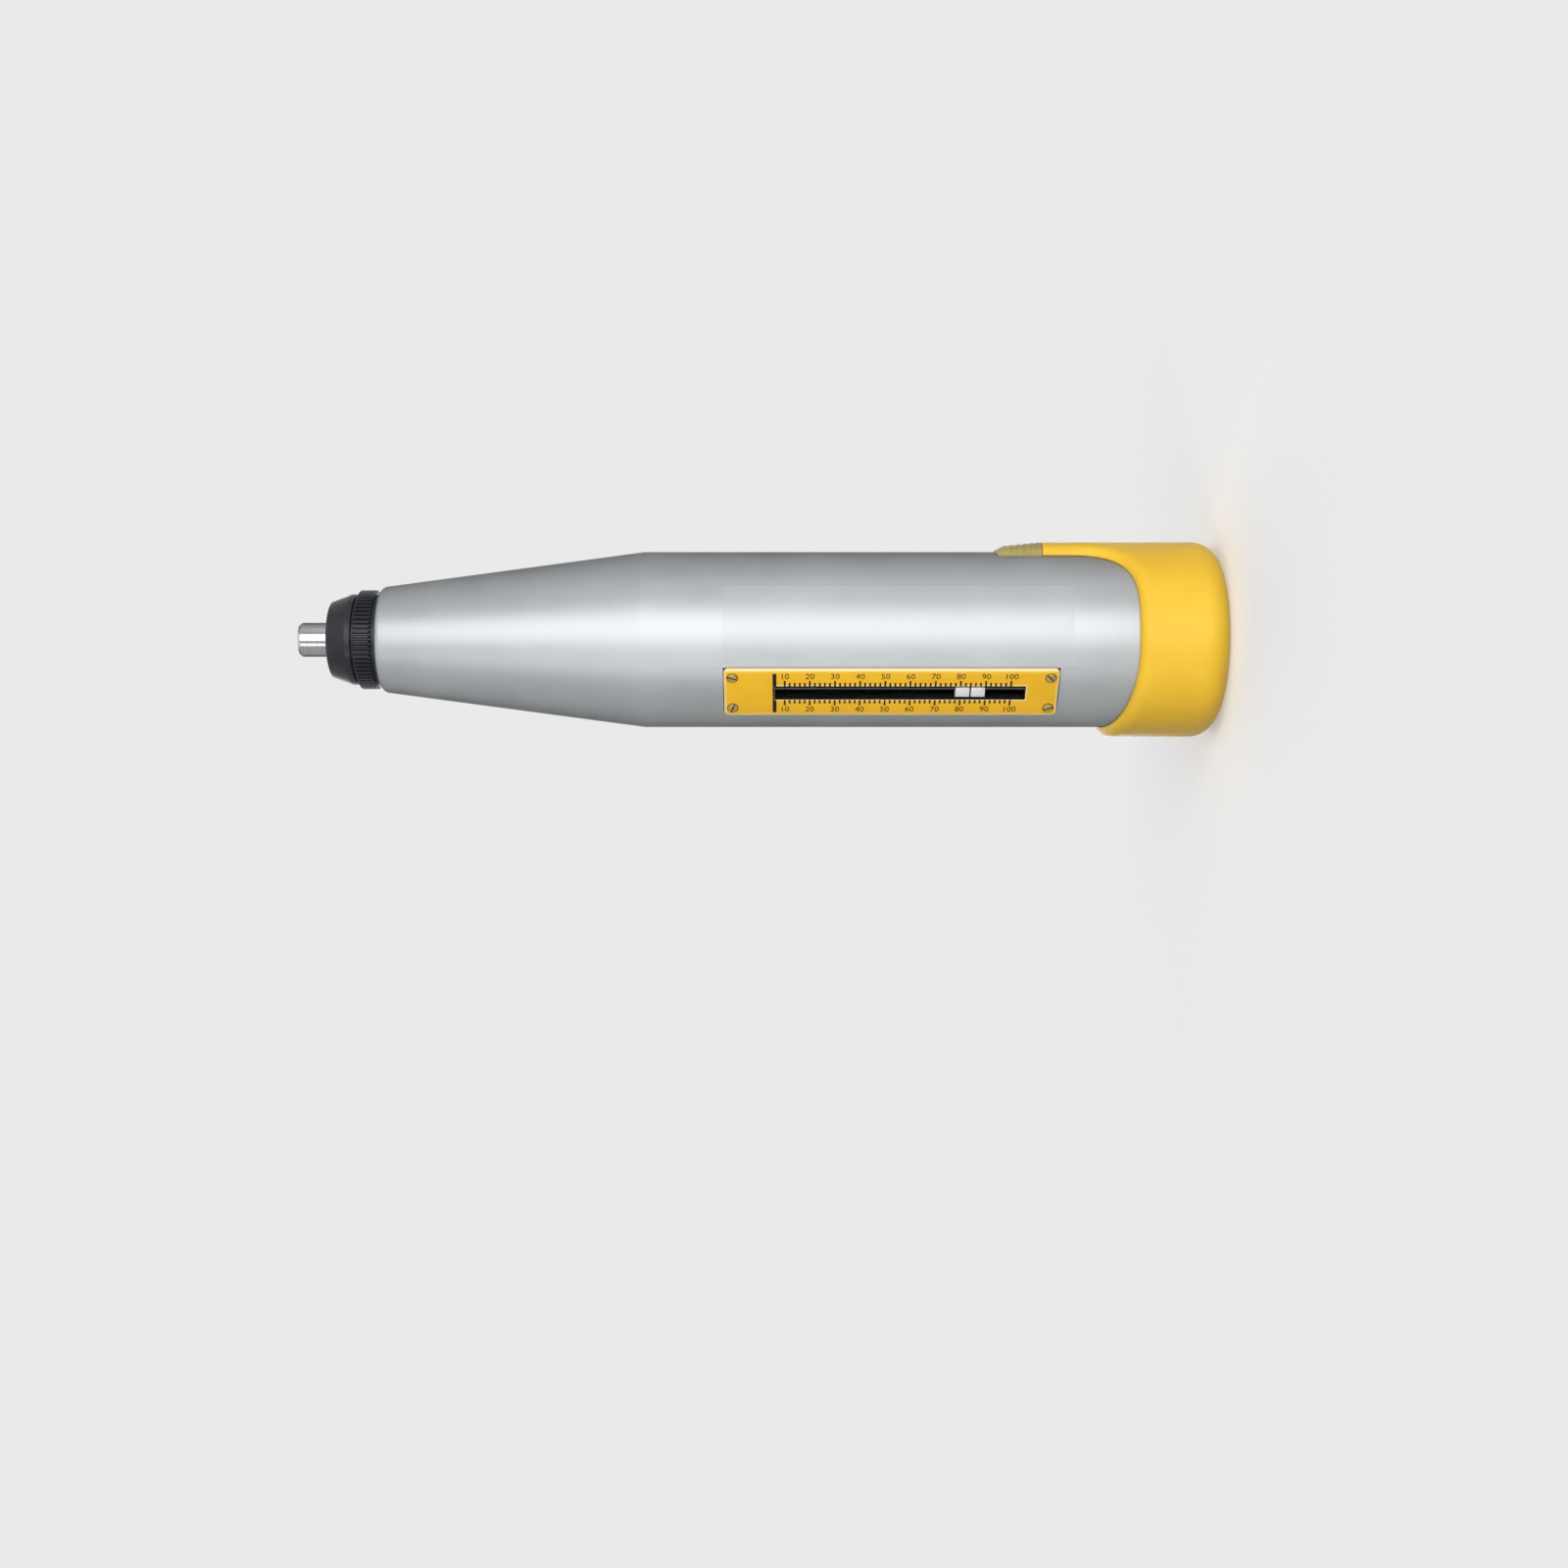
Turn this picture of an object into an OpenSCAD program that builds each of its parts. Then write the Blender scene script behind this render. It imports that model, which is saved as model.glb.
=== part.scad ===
// Concrete test hammer, drawn locked, with its plunger pushed in and the hammer mass cocked.
// The impact axis is Z, the rear face stands on z = 0 and the scale faces -Y.

/* [Barrel] */
// Outside diameter of the barrel
tube_d = 54; // [50:0.5:58]
// Wall of the barrel
tube_wall = 3.5; // [3.2:0.1:4]
// Rear face to the shoulder where the cone starts
barrel_len = 176; // [160:1:200]
// Length of the guide sleeve's seat in the cone's front end
sleeve_seat_len = 14.5; // [12:0.5:18]
// Diameter of the cone at its front edge
nose_d = 32.4; // [31:0.2:36]
// Rounding of that front edge
nose_edge_r = 2; // [0.5:0.1:2.5]
// Wall of the cone
cone_wall = 4; // [3:0.1:4.5]
// Diameter of the spigot that the front cap screws on
spigot_d = 25; // [24.4:0.2:26]
// Length of that spigot
spigot_len = 7; // [5:0.5:9]

/* [Front cap] */
// Step from the cone's edge down to the knurled ring
knurl_step = 0.9; // [0.4:0.1:1.3]
// Length of the knurled ring
knurl_len = 5.5; // [4:0.1:6.5]
// Number of ribs round the knurled ring
knurl_count = 64; // [40:1:80]
// Depth of the ribs
knurl_depth = 0.8; // [0.2:0.1:0.9]
// Diameter of the cap's front face
cap_tip_d = 23.8; // [22:0.2:25]
// Thickness of the cap's front wall
cap_tip_wall = 2; // [1.2:0.1:3]
// Diameter of the felt seal
felt_d = 17; // [14:0.2:19]
// Thickness of the felt seal
felt_t = 3.2; // [2:0.1:4]

/* [Rear cap] */
// Wall of the rear cap
cap_wall = 2.85; // [2:0.05:4]
// End wall of the rear cap
cap_end = 3; // [2:0.1:4]
// Rounding of the rear cap's end
cap_edge_r = 8; // [2:0.5:9]
// Rear face to the cap's front edge at the scooped sides
scoop_z = 27.5; // [22:0.5:32]
// Rear face to the cap's front edge at the middle of the lobe
lobe_z = 35.5; // [31:0.5:44]
// Width of the tongue
tongue_w = 12.6; // [11:0.2:16]
// Radius of the flare between the tongue and the scoops
flare_r = 18; // [8:0.5:20]
// Length of the rounded lip along the cap's front edge
lip_len = 3.6; // [1:0.1:4.5]
// Angle of the tongue round the barrel, from +X
tongue_angle = 30; // [0:1:60]

/* [Lock button] */
// Length of the thumb pad
pad_len = 13.6; // [12:0.2:20]
// How far the pad's top falls towards its front
pad_drop = 0.8; // [0:0.1:1.2]
// Length of the ramp at the pad's front end
pad_ramp = 3; // [1:0.1:4]
// Number of grooves across the pad
pad_grooves = 5; // [2:1:6]
// Distance between the grooves
pad_groove_pitch = 2; // [1.2:0.1:2.4]
// Travel of the button
button_travel = 1.6; // [1:0.1:1.8]
// Diameter of the lock pin
lock_pin_d = 3; // [2:0.1:4]

/* [Scale] */
// Length of the scale plate
plate_len = 100; // [94:1:110]
// Width of the scale plate
plate_w = 17; // [14:0.2:18]
// Thickness of the scale plate
plate_t = 1.5; // [1:0.1:1.6]
// Corner radius of the scale plate
plate_corner_r = 1.5; // [0.5:0.1:3]
// Rear face to the rear end of the scale plate
plate_z = 51; // [48:0.5:60]
// Length of the slot in the scale plate
slot_len = 75; // [70:0.5:78]
// Width of that slot
slot_w = 5; // [4.4:0.1:6]
// Rear end of the scale plate to the slot
slot_inset = 9.8; // [8:0.1:12]
// Length of the rider's face
rider_len = 8.8; // [6:0.1:10]
// Width of the rider's face
rider_w = 3.2; // [2:0.1:3.6]
// Reading that the rider stands at
reading = 84; // [20:1:98]
// Diameter of the rider's guide rod
rod_d = 1.4; // [1:0.1:1.6]

/* [Mechanism] */
// Stroke of the hammer mass
stroke = 75; // [70:1:78]
// Diameter of the hammer mass
mass_d = 37; // [30:0.5:40]
// Length of the hammer mass between its necks
mass_len = 42; // [36:1:46]
// Diameter of the guide bar
bar_d = 7; // [6:0.1:7.4]
// Diameter of the plunger
plunger_d = 10.5; // [10:0.1:12]
// Length of the plunger
plunger_len = 99; // [95:1:110]
// Radius of the plunger's rounded tip
tip_r = 25; // [15:1:60]
// Working length of the impact spring
impact_len = 61.5; // [56:0.5:64]
// Wire of the impact spring
impact_wire = 2; // [1.6:0.1:2.2]
// Number of coils of the impact spring
impact_coils = 25; // [18:1:28]
// Compressed length of the compression spring
comp_len = 28; // [26:0.5:34]
// Wire of the compression spring
comp_wire = 2; // [1.4:0.1:2.2]
// Number of coils of the compression spring
comp_coils = 9; // [5:1:9]
// Thickness of the guide disk
disk_t = 6; // [5:0.1:8]

/* [Hidden] */
$fn = 96;

// Rings to a coil and sides of the wire on every spring
coil_rings = 8;
coil_sides = 6;

// Clearances
overrun = 1;
fixed_gap = 0.05;
slide_gap = 0.1;
seat_gap = 0.2;
clear_gap = 0.3;

// Barrel across
tube_r = tube_d / 2;
cap_in_r = tube_r + slide_gap + fixed_gap;
bore_r = tube_r - tube_wall;
nose_r = nose_d / 2;
spigot_r = spigot_d / 2;

// Rear end, from the rear face forwards
plug_flange_t = 3;
plug_len = 8;
plug_flange_inset = 0.5;
plug_z = cap_end + seat_gap;
casing_z = plug_z + plug_flange_t;
plug_front_z = casing_z + plug_len;
disk_z = plug_front_z + comp_len;
disk_front_z = disk_z + disk_t;
hub_len = 1.6;
hub_d = 12;
hub_front_z = disk_front_z + hub_len;

// Hammer mass, cocked
collar_t = 3;
collar_d = 21;
neck_len = 6;
neck_d = 16;
spring_neck_len = 8;
mass_chamfer = 1;
mass_z = hub_front_z + seat_gap;
mass_neck_z = mass_z + collar_t;
mass_body_z = mass_neck_z + neck_len;
mass_shoulder_z = mass_body_z + mass_len;
mass_front_z = mass_shoulder_z + spring_neck_len;
impact_mean_r = 10;
spring_neck_r = coil_inner_r(impact_mean_r, impact_wire) - clear_gap;

// Barrel along: the impact spring and the sleeve set where the cone ends
sleeve_land = 5;
sleeve_shoulder_z = mass_shoulder_z + stroke + impact_len;
step_z = sleeve_shoulder_z + sleeve_land;
nose_z = step_z + sleeve_seat_len;
cone_len = nose_z - barrel_len;
cone_slope = (tube_r - nose_r) / cone_len;
cone_angle = atan(cone_slope);
inner_cone_z = barrel_len - (cone_wall - tube_wall) / cone_slope;
spigot_z = nose_z + spigot_len;
edge_steps = 6;

// Plunger and guide bar
plunger_r = plunger_d / 2;
plunger_z = mass_front_z + stroke;
plunger_tip_z = plunger_z + plunger_len;
plunger_bore_len = 52;
plunger_edge = 0.6;
buffer_len = 14;
buffer_wire = 1;
buffer_coils = 6;
bar_r = bar_d / 2;
bar_bore_r = bar_r + slide_gap;
buffer_z = plunger_z + plunger_bore_len - buffer_len;
buffer_mean_r = bar_r - buffer_wire;

// Guide sleeve, split ring and front cap
sleeve_d = 21.8;
sleeve_r = sleeve_d / 2;
sleeve_neck_len = 10;
sleeve_lip = 1;
split_ring_t = 2;
split_ring_gap = 0.6;
split_groove_r = 8.5;
split_ring_r = spigot_r - clear_gap;
front_bore_r = sleeve_r + slide_gap;
split_ring_z = spigot_z + split_ring_t;
sleeve_front_z = split_ring_z + sleeve_lip;
felt_z = sleeve_front_z + felt_t;
front_z = felt_z + seat_gap + cap_tip_wall;
felt_r = felt_d / 2;
band_len = 1.2;
groove_len = 0.7;
bead_len = 1.8;
bead_edge = 0.5;
bead_lip = 0.4;
tip_edge = 0.8;
knurl_r = nose_r - knurl_step;
knurl_root_r = knurl_r - knurl_depth;
knurl_z = nose_z + band_len;
groove_z = knurl_z + knurl_len;
bead_z = groove_z + groove_len;
bead_end_z = bead_z + bead_len;
bead_r = (knurl_root_r + cap_tip_d / 2) / 2 + bead_edge + bead_lip;
groove_r = bead_r - bead_edge - bead_lip;
cap_tip_r = cap_tip_d / 2;
rib_top_share = 0.45;
knurl_sink = 0.2;
cap_neck_step = 0.7;
cap_neck_r = knurl_root_r - cap_neck_step;

// Scale plate and its screws
plate_proud = 0.2;
plate_edge = 0.5;
seat_d = tube_r - plate_t + plate_proud;
slot_z = plate_z + slot_inset;
slot_end_z = slot_z + slot_len;
screw_inset_x = 2.9;
screw_inset_z = 2.6;
screw_r = 0.8;
screw_len = 3;
screw_head_r = 1.5;
screw_head_t = 0.6;
screw_slot_w = 0.4;

// Rider, its rod in the barrel's wall and the rod's end blocks, under the scale
rod_r = rod_d / 2;
rod_wall = 0.6;
rod_y = (bore_r + seat_d) / 2;
rider_shoulder = 0.4;
rider_sink = 0.2;
rider_line_w = 0.4;
rider_line_depth = 0.4;
rider_body_w = slot_w + 2 * rider_shoulder;
rider_body_in = rod_y - rod_r - slide_gap - rod_wall;
rider_body_out = seat_d - seat_gap;
rider_face_d = seat_d + plate_t - rider_sink;
strip_t = 0.4;
strip_w = 3;
strip_in = rider_body_in - strip_t;
casing_slot_w = rider_body_w + 2 * clear_gap;
block_t = 4;
scale_units = 100;
unit_len = stroke / scale_units;
rider_end_z = slot_z + rider_len / 2 + slide_gap;
rider_z = rider_end_z + (scale_units - reading) * unit_len;

// What runs inside the barrel, clear of the rider
mass_r = mass_d / 2;
notch_r = strip_in - clear_gap;
notch_w = rider_body_w + 2 * clear_gap;
disk_r = bore_r - clear_gap;
comp_mean_r = mass_r - slide_gap - comp_wire / 2;
boss_len = 3;
boss_wall = 3;
boss_r = coil_inner_r(comp_mean_r, comp_wire) - clear_gap;

// Pawl, hinged in the disk on the side away from the scale
pawl_t = 4;
pawl_arm_t = 4;
pawl_y = collar_d / 2 + clear_gap + pawl_arm_t / 2;
pawl_z = disk_z + disk_t / 2;
pawl_pin_r = 1.25;
pawl_pin_len = 15;
pawl_boss_r = 2.8;
pawl_tail_t = 3;
pawl_tail_drop = 8;
pawl_tail_over = 1;
pawl_hook_t = 3;
pawl_slot_room = 1.6;
pawl_spring_wire = 0.5;
pawl_spring_coils = 3;
pawl_spring_len = 3.6;
pawl_spring_mean_r = pawl_pin_r + pawl_spring_wire / 2 + seat_gap;
pawl_tail_z = disk_z - pawl_tail_drop;
pawl_hook_z = mass_neck_z + clear_gap;
pawl_hook_y = neck_d / 2 + clear_gap;

// Trip screw and its lock nut, in the end plug
trip_r = 2.5;
trip_slot_w = 0.8;
nut_flats = 8;
nut_t = 2.5;
nut_room = 1;
nut_seat_z = casing_z - seat_gap;
nut_r = nut_flats / 2 / cos(30);
trip_tip_z = pawl_tail_z - clear_gap;

// Lock button under the tongue's end
lock_pin_r = lock_pin_d / 2;
lock_pin_z = disk_front_z + clear_gap + lock_pin_r;
pad_lead = 3;
pad_z = lock_pin_z + lock_pin_r + pad_lead;
pocket_wall = 0.8;
pocket_d = bore_r + pocket_wall;
pad_bottom_d = pocket_d + seat_gap + button_travel;
heel_w = 8;
heel_back = 1.4;
heel_top_d = sqrt(cap_in_r * cap_in_r - heel_w * heel_w / 4) - seat_gap;
heel_z = lock_pin_z - lock_pin_r - heel_back;
pad_ramp_h = 0.9;
pad_groove_r = 0.7;
pad_groove_depth = 0.3;
pad_groove_start = 1.2;
button_wire = 0.5;
button_coils = 3;
button_mean_r = 2.2;
button_cup_r = button_mean_r + button_wire / 2 + clear_gap;
button_cup_wall = 1.6;
button_spring_z = pad_z + pad_len / 2;

// Rear cap
cap_r = cap_in_r + cap_wall;
tongue_z = pad_z - seat_gap;
tongue_half = tongue_w / 2;
tongue_turn = asin(tongue_half / cap_in_r);
flare = min(flare_r, cap_in_r - tongue_half - overrun, tongue_z - scoop_z - overrun);
flare_turn = asin((tongue_half + flare) / cap_in_r);
lobe_soft_share = 0.2;
fan_share = 0.5;
cap_round_share = 1.4;
cap_round = min(cap_edge_r, cap_round_share * (cap_wall + cap_end));
lobe_steps = 14;
scoop_steps = 5;
flare_steps = 10;
flank_steps = 3;
end_steps = 3;
lip_steps = 5;
round_steps = 6;

// Shapes that several pieces share

module rod(r, z0, z1) {
    translate([0, 0, z0])
        cylinder(r = r, h = z1 - z0);
}

module ring(r_out, r_in, z0, z1) {
    difference() {
        rod(r_out, z0, z1);
        rod(r_in, z0 - overrun, z1 + overrun);
    }
}

module block(low, high) {
    translate(low)
        cube(high - low);
}

// A flat outline, x across and y up, standing at a distance from the axis on the scale's side
module on_scale_side(distance, thickness) {
    translate([0, -distance, 0])
        rotate([90, 0, 0])
            linear_extrude(height = thickness)
                children();
}

// A flat outline, x away from the axis and y up, centred on the plane through the axis
module in_axis_plane(thickness) {
    translate([-thickness / 2, 0, 0])
        rotate([90, 0, 90])
            linear_extrude(height = thickness)
                children();
}

module rounded_outline(w, len, r) {
    translate([-w / 2 + r, 0])
        square([w - 2 * r, len]);
    translate([-w / 2, r])
        square([w, len - 2 * r]);
    for (x = [-w / 2 + r, w / 2 - r], y = [r, len - r])
        translate([x, y])
            circle(r = r);
}

// Room inside a coil, whose rings are joined by straight stretches
function coil_inner_r(r, wire) = r * cos(180 / coil_rings) - wire / 2;

function coil_centre(r, len, coils, i) =
    let (turn = 360 * i / coil_rings)
    [r * cos(turn), r * sin(turn), len * i / (coils * coil_rings)];

function coil_points(r, wire, len, coils) = [
    for (i = [0 : coils * coil_rings])
        let (
            turn = 360 * i / coil_rings,
            rise = atan(len / (coils * 2 * PI * r)),
            out = [cos(turn), sin(turn), 0],
            up = [sin(turn) * sin(rise), -cos(turn) * sin(rise), cos(rise)]
        )
        for (j = [0 : coil_sides - 1])
            let (a = 360 * j / coil_sides)
            coil_centre(r, len, coils, i) + wire / 2 * (cos(a) * out + sin(a) * up)
];

function band_faces(rows, sides) = [
    for (i = [0 : rows - 2], j = [0 : sides - 1])
        let (
            a = i * sides + j,
            b = i * sides + (j + 1) % sides,
            c = a + sides,
            d = b + sides
        )
        each [[a, b, d], [a, d, c]]
];

// Least gap between neighbouring coils, measured on the wire's centre points
function coil_gap(r, wire, len, coils) = min([
    for (i = [0 : (coils - 1) * coil_rings], k = [coil_rings - 1 : coil_rings + 1])
        if (i + k <= coils * coil_rings)
            norm(coil_centre(r, len, coils, i + k) - coil_centre(r, len, coils, i)) - wire
]);

// A coil spring along Z as one unbroken tube, with flat ends square to the wire
module coil(r, wire, z0, z1, coils, label) {
    len = z1 - z0 - wire;
    rows = coils * coil_rings + 1;
    last = (rows - 1) * coil_sides;
    start_face = [for (j = [coil_sides - 1 : -1 : 0]) j];
    end_face = [for (j = [0 : coil_sides - 1]) last + j];
    echo(str(label, " least gap between coils ", coil_gap(r, wire, len, coils)));
    translate([0, 0, z0 + wire / 2])
        polyhedron(
            points = coil_points(r, wire, len, coils),
            faces = concat([start_face], band_faces(rows, coil_sides), [end_face])
        );
}

// Barrel and cone

function cone_r(z) = tube_r - (z - barrel_len) * cone_slope;

nose_arc_r = nose_r + nose_edge_r * cone_slope - nose_edge_r / cos(cone_angle);

function nose_arc() = [
    for (i = [0 : edge_steps])
        let (a = cone_angle + (90 - cone_angle) * i / edge_steps)
        [nose_arc_r + nose_edge_r * cos(a), nose_z - nose_edge_r + nose_edge_r * sin(a)]
];

module casing_shell() {
    rotate_extrude()
        polygon(concat(
            [[bore_r, casing_z], [tube_r, casing_z], [tube_r, barrel_len]],
            nose_arc(),
            [
                [spigot_r, nose_z],
                [spigot_r, spigot_z],
                [front_bore_r, spigot_z],
                [front_bore_r, step_z],
                [cone_r(step_z) - cone_wall, step_z],
                [bore_r, inner_cone_z],
            ]
        ));
}

module at_plate_screws() {
    for (
        x = [-plate_w / 2 + screw_inset_x, plate_w / 2 - screw_inset_x],
        z = [plate_z + screw_inset_z, plate_z + plate_len - screw_inset_z]
    )
        translate([x, 0, z])
            children();
}

module scale_cuts() {
    block([-tube_r, -tube_r - overrun, plate_z - seat_gap], [tube_r, -seat_d, plate_z + plate_len + seat_gap]);
    block(
        [-casing_slot_w / 2, -tube_r, slot_z - block_t - fixed_gap],
        [casing_slot_w / 2, -bore_r + overrun, slot_end_z + block_t + fixed_gap]
    );
    at_plate_screws()
        translate([0, -seat_d + screw_len, 0])
            rotate([90, 0, 0])
                cylinder(r = screw_r + fixed_gap, h = screw_len + overrun);
}

module button_cuts() {
    pocket_half = tongue_half + seat_gap;
    heel_half = heel_w / 2 + seat_gap;
    block([pocket_d, -pocket_half, tongue_z], [tube_r + overrun, pocket_half, pad_z + pad_len + seat_gap]);
    block([pocket_d, -heel_half, heel_z - seat_gap], [tube_r + overrun, heel_half, pad_z]);
    translate([bore_r - overrun, 0, lock_pin_z])
        rotate([0, 90, 0])
            cylinder(r = lock_pin_r + slide_gap, h = tube_wall + overrun);
}

module casing() {
    color("silver")
        difference() {
            casing_shell();
            scale_cuts();
            rotate([0, 0, tongue_angle])
                button_cuts();
        }
}

// Front cap, its felt seal, and what holds the guide sleeve

module knurl_outline() {
    pitch = 360 / knurl_count;
    land = pitch * rib_top_share;
    valley_r = knurl_root_r - knurl_sink;
    polygon([
        for (i = [0 : knurl_count - 1])
            each [
                knurl_r * [cos(i * pitch - land / 2), sin(i * pitch - land / 2)],
                knurl_r * [cos(i * pitch + land / 2), sin(i * pitch + land / 2)],
                valley_r * [cos((i + 0.5) * pitch), sin((i + 0.5) * pitch)],
            ]
    ]);
}

module front_cap_body() {
    rotate_extrude()
        polygon([
            [0, nose_z],
            [cap_neck_r, nose_z],
            [cap_neck_r, knurl_z],
            [knurl_root_r, knurl_z],
            [knurl_root_r, groove_z],
            [groove_r, groove_z],
            [groove_r, bead_z],
            [bead_r - bead_edge, bead_z],
            [bead_r, bead_z + bead_edge],
            [bead_r, bead_end_z - bead_edge],
            [bead_r - bead_lip, bead_end_z],
            [cap_tip_r, front_z - tip_edge],
            [cap_tip_r - tip_edge, front_z],
            [0, front_z],
        ]);
    translate([0, 0, knurl_z])
        linear_extrude(height = knurl_len)
            knurl_outline();
}

module front_cap() {
    color("dimgray")
        difference() {
            front_cap_body();
            rod(spigot_r + fixed_gap, nose_z - overrun, sleeve_front_z);
            rod(felt_r + slide_gap, nose_z, felt_z + seat_gap);
            rod(plunger_r + clear_gap, nose_z, front_z + overrun);
        }
}

module felt_seal() {
    color("ivory")
        ring(felt_r, plunger_r + slide_gap, sleeve_front_z, felt_z);
}

module split_ring() {
    color("gray")
        difference() {
            ring(split_ring_r, split_groove_r + slide_gap, spigot_z, split_ring_z);
            block(
                [-split_ring_r, -split_ring_gap / 2, spigot_z - overrun],
                [split_ring_r, split_ring_gap / 2, split_ring_z + overrun]
            );
        }
}

module guide_sleeve() {
    bore = plunger_r + slide_gap;
    color("slategray")
        rotate_extrude()
            polygon([
                [bore, sleeve_shoulder_z - sleeve_neck_len],
                [spring_neck_r, sleeve_shoulder_z - sleeve_neck_len],
                [spring_neck_r, sleeve_shoulder_z],
                [sleeve_r, sleeve_shoulder_z],
                [sleeve_r, spigot_z],
                [split_groove_r, spigot_z],
                [split_groove_r, split_ring_z],
                [sleeve_r, split_ring_z],
                [sleeve_r, sleeve_front_z],
                [bore, sleeve_front_z],
            ]);
}

module impact_spring() {
    color("dimgray")
        coil(
            impact_mean_r,
            impact_wire,
            mass_shoulder_z + slide_gap,
            sleeve_shoulder_z - slide_gap,
            impact_coils,
            "impact spring"
        );
}

// Scale plate and what shows through its slot

// Across and depth of a slab with chamfered edges on its face, running past its ends, back and face
function chamfered_slab(low, high, back, face) = [
    [low - overrun, overrun - back],
    [low - overrun, plate_edge + overrun - face],
    [low + plate_edge + overrun, -face - overrun],
    [high - plate_edge - overrun, -face - overrun],
    [high + overrun, plate_edge + overrun - face],
    [high + overrun, overrun - back],
];

module plate_body() {
    face_d = seat_d + plate_t;
    across = chamfered_slab(-plate_w / 2, plate_w / 2, seat_d, face_d);
    along = chamfered_slab(plate_z, plate_z + plate_len, seat_d, face_d);
    intersection() {
        on_scale_side(seat_d, plate_t)
            difference() {
                translate([0, plate_z])
                    rounded_outline(plate_w, plate_len, plate_corner_r);
                translate([-slot_w / 2, slot_z])
                    square([slot_w, slot_len]);
            }
        translate([0, 0, plate_z - overrun])
            linear_extrude(height = plate_len + 2 * overrun)
                polygon(across);
        in_axis_plane(plate_w + 2 * overrun)
            polygon([for (p = along) [p[1], p[0]]]);
    }
}

module scale_plate() {
    color("goldenrod")
        difference() {
            plate_body();
            at_plate_screws()
                translate([0, -seat_d + overrun, 0])
                    rotate([90, 0, 0])
                        cylinder(r = screw_r + fixed_gap, h = plate_t + 2 * overrun);
        }
}

module plate_screw() {
    head_d = seat_d + plate_t;
    rotate([90, 0, 0]) {
        rod(screw_r, seat_d - screw_len, head_d);
        difference() {
            rod(screw_head_r, head_d, head_d + screw_head_t);
            translate([0, 0, head_d + screw_head_t])
                cube([2 * screw_head_r + overrun, screw_slot_w, screw_head_t], center = true);
        }
    }
}

module plate_screws() {
    color("gray")
        at_plate_screws()
            plate_screw();
}

module rider() {
    color("white")
        translate([0, 0, rider_z])
            difference() {
                union() {
                    block(
                        [-rider_body_w / 2, -rider_body_out, -rider_len / 2],
                        [rider_body_w / 2, -rider_body_in, rider_len / 2]
                    );
                    block(
                        [-rider_w / 2, -rider_face_d, -rider_len / 2],
                        [rider_w / 2, -rider_body_in, rider_len / 2]
                    );
                }
                translate([0, -rod_y, 0])
                    rod(rod_r + slide_gap, -rider_len, rider_len);
                block(
                    [-rider_w / 2 - overrun, -rider_face_d - overrun, -rider_line_w / 2],
                    [rider_w / 2 + overrun, -rider_face_d + rider_line_depth, rider_line_w / 2]
                );
            }
}

module rider_strip() {
    color("silver")
        translate([0, 0, rider_z])
            block([-strip_w / 2, -rider_body_in, -rider_len / 2], [strip_w / 2, -strip_in, rider_len / 2]);
}

module rider_rod() {
    color("silver")
        translate([0, -rod_y, 0])
            rod(rod_r, slot_z - block_t, slot_end_z + block_t);
}

module rod_block(z) {
    half = casing_slot_w / 2 - fixed_gap;
    difference() {
        block([-half, -seat_d, z], [half, -bore_r, z + block_t]);
        translate([0, -rod_y, 0])
            rod(rod_r + fixed_gap, z - overrun, z + block_t + overrun);
    }
}

module rod_blocks() {
    color("gray") {
        rod_block(slot_z - block_t);
        rod_block(slot_end_z);
    }
}

// Rear cap: a lofted shell with scooped sides, a lobe, a tongue and a rolled front lip

function softened(s) =
    (sqrt(s * s + lobe_soft_share * lobe_soft_share) - lobe_soft_share)
    / (sqrt(1 + lobe_soft_share * lobe_soft_share) - lobe_soft_share);

// The front edge from the lobe's middle to the tongue's corner: [turn from the tongue, height]
function cap_edge() = concat(
    [for (i = [0 : lobe_steps - 1])
        let (turn = 180 - 90 * i / lobe_steps)
        [turn, lobe_z - (lobe_z - scoop_z) * softened(sin(turn))]],
    [for (i = [0 : scoop_steps - 1])
        [90 - (90 - flare_turn) * i / scoop_steps, scoop_z]],
    [for (i = [0 : flare_steps - 1])
        let (a = 90 * i / flare_steps)
        [asin((tongue_half + flare * (1 - sin(a))) / cap_in_r), scoop_z + flare * (1 - cos(a))]],
    [for (i = [0 : flank_steps])
        [tongue_turn, scoop_z + flare + (tongue_z - scoop_z - flare) * i / flank_steps]]
);

edge = cap_edge();
edge_last = len(edge) - 1;
half_last = edge_last + end_steps;
arc_per_turn = cap_in_r * PI / 180;

function edge_normal(i) =
    i == 0 ? [0, -1] :
    i == edge_last ? [-1, 0] :
    let (
        step = edge[i + 1] - edge[i - 1],
        along = [step[0] * arc_per_turn, step[1]]
    )
    [-along[1], along[0]] / norm(along);

// A point of the rounded lip, as [turn, height], a distance in from the front edge
function lip_point(i, inset) =
    i <= edge_last
        ? let (n = edge_normal(i)) [edge[i][0] + n[0] * inset / arc_per_turn, edge[i][1] + n[1] * inset]
        : let (left = (half_last - i) / end_steps) [left * (tongue_turn - inset / arc_per_turn), tongue_z];

// Turn of the same point where it reaches the cap's rear, with the tongue's points fanned out
function rear_turn(i) =
    let (bend = edge_last - flank_steps)
    i < bend ? edge[i][0] :
    i <= edge_last ? tongue_turn * (1 - fan_share * (i - bend + 1) / (flank_steps + 1)) :
    tongue_turn * (1 - fan_share) * (half_last - i) / end_steps;

function cap_rows(i) = concat(
    [[rear_turn(i), cap_end, cap_in_r]],
    [for (k = [0 : lip_steps])
        let (
            a = 90 * k / lip_steps,
            p = lip_point(i, lip_len * (1 - cos(a)))
        )
        [p[0], p[1], cap_in_r + cap_wall * sin(a)]],
    [for (k = [0 : round_steps])
        let (a = 90 * k / round_steps)
        [rear_turn(i), cap_round * (1 - sin(a)), cap_r - cap_round * (1 - cos(a))]]
);

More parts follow.
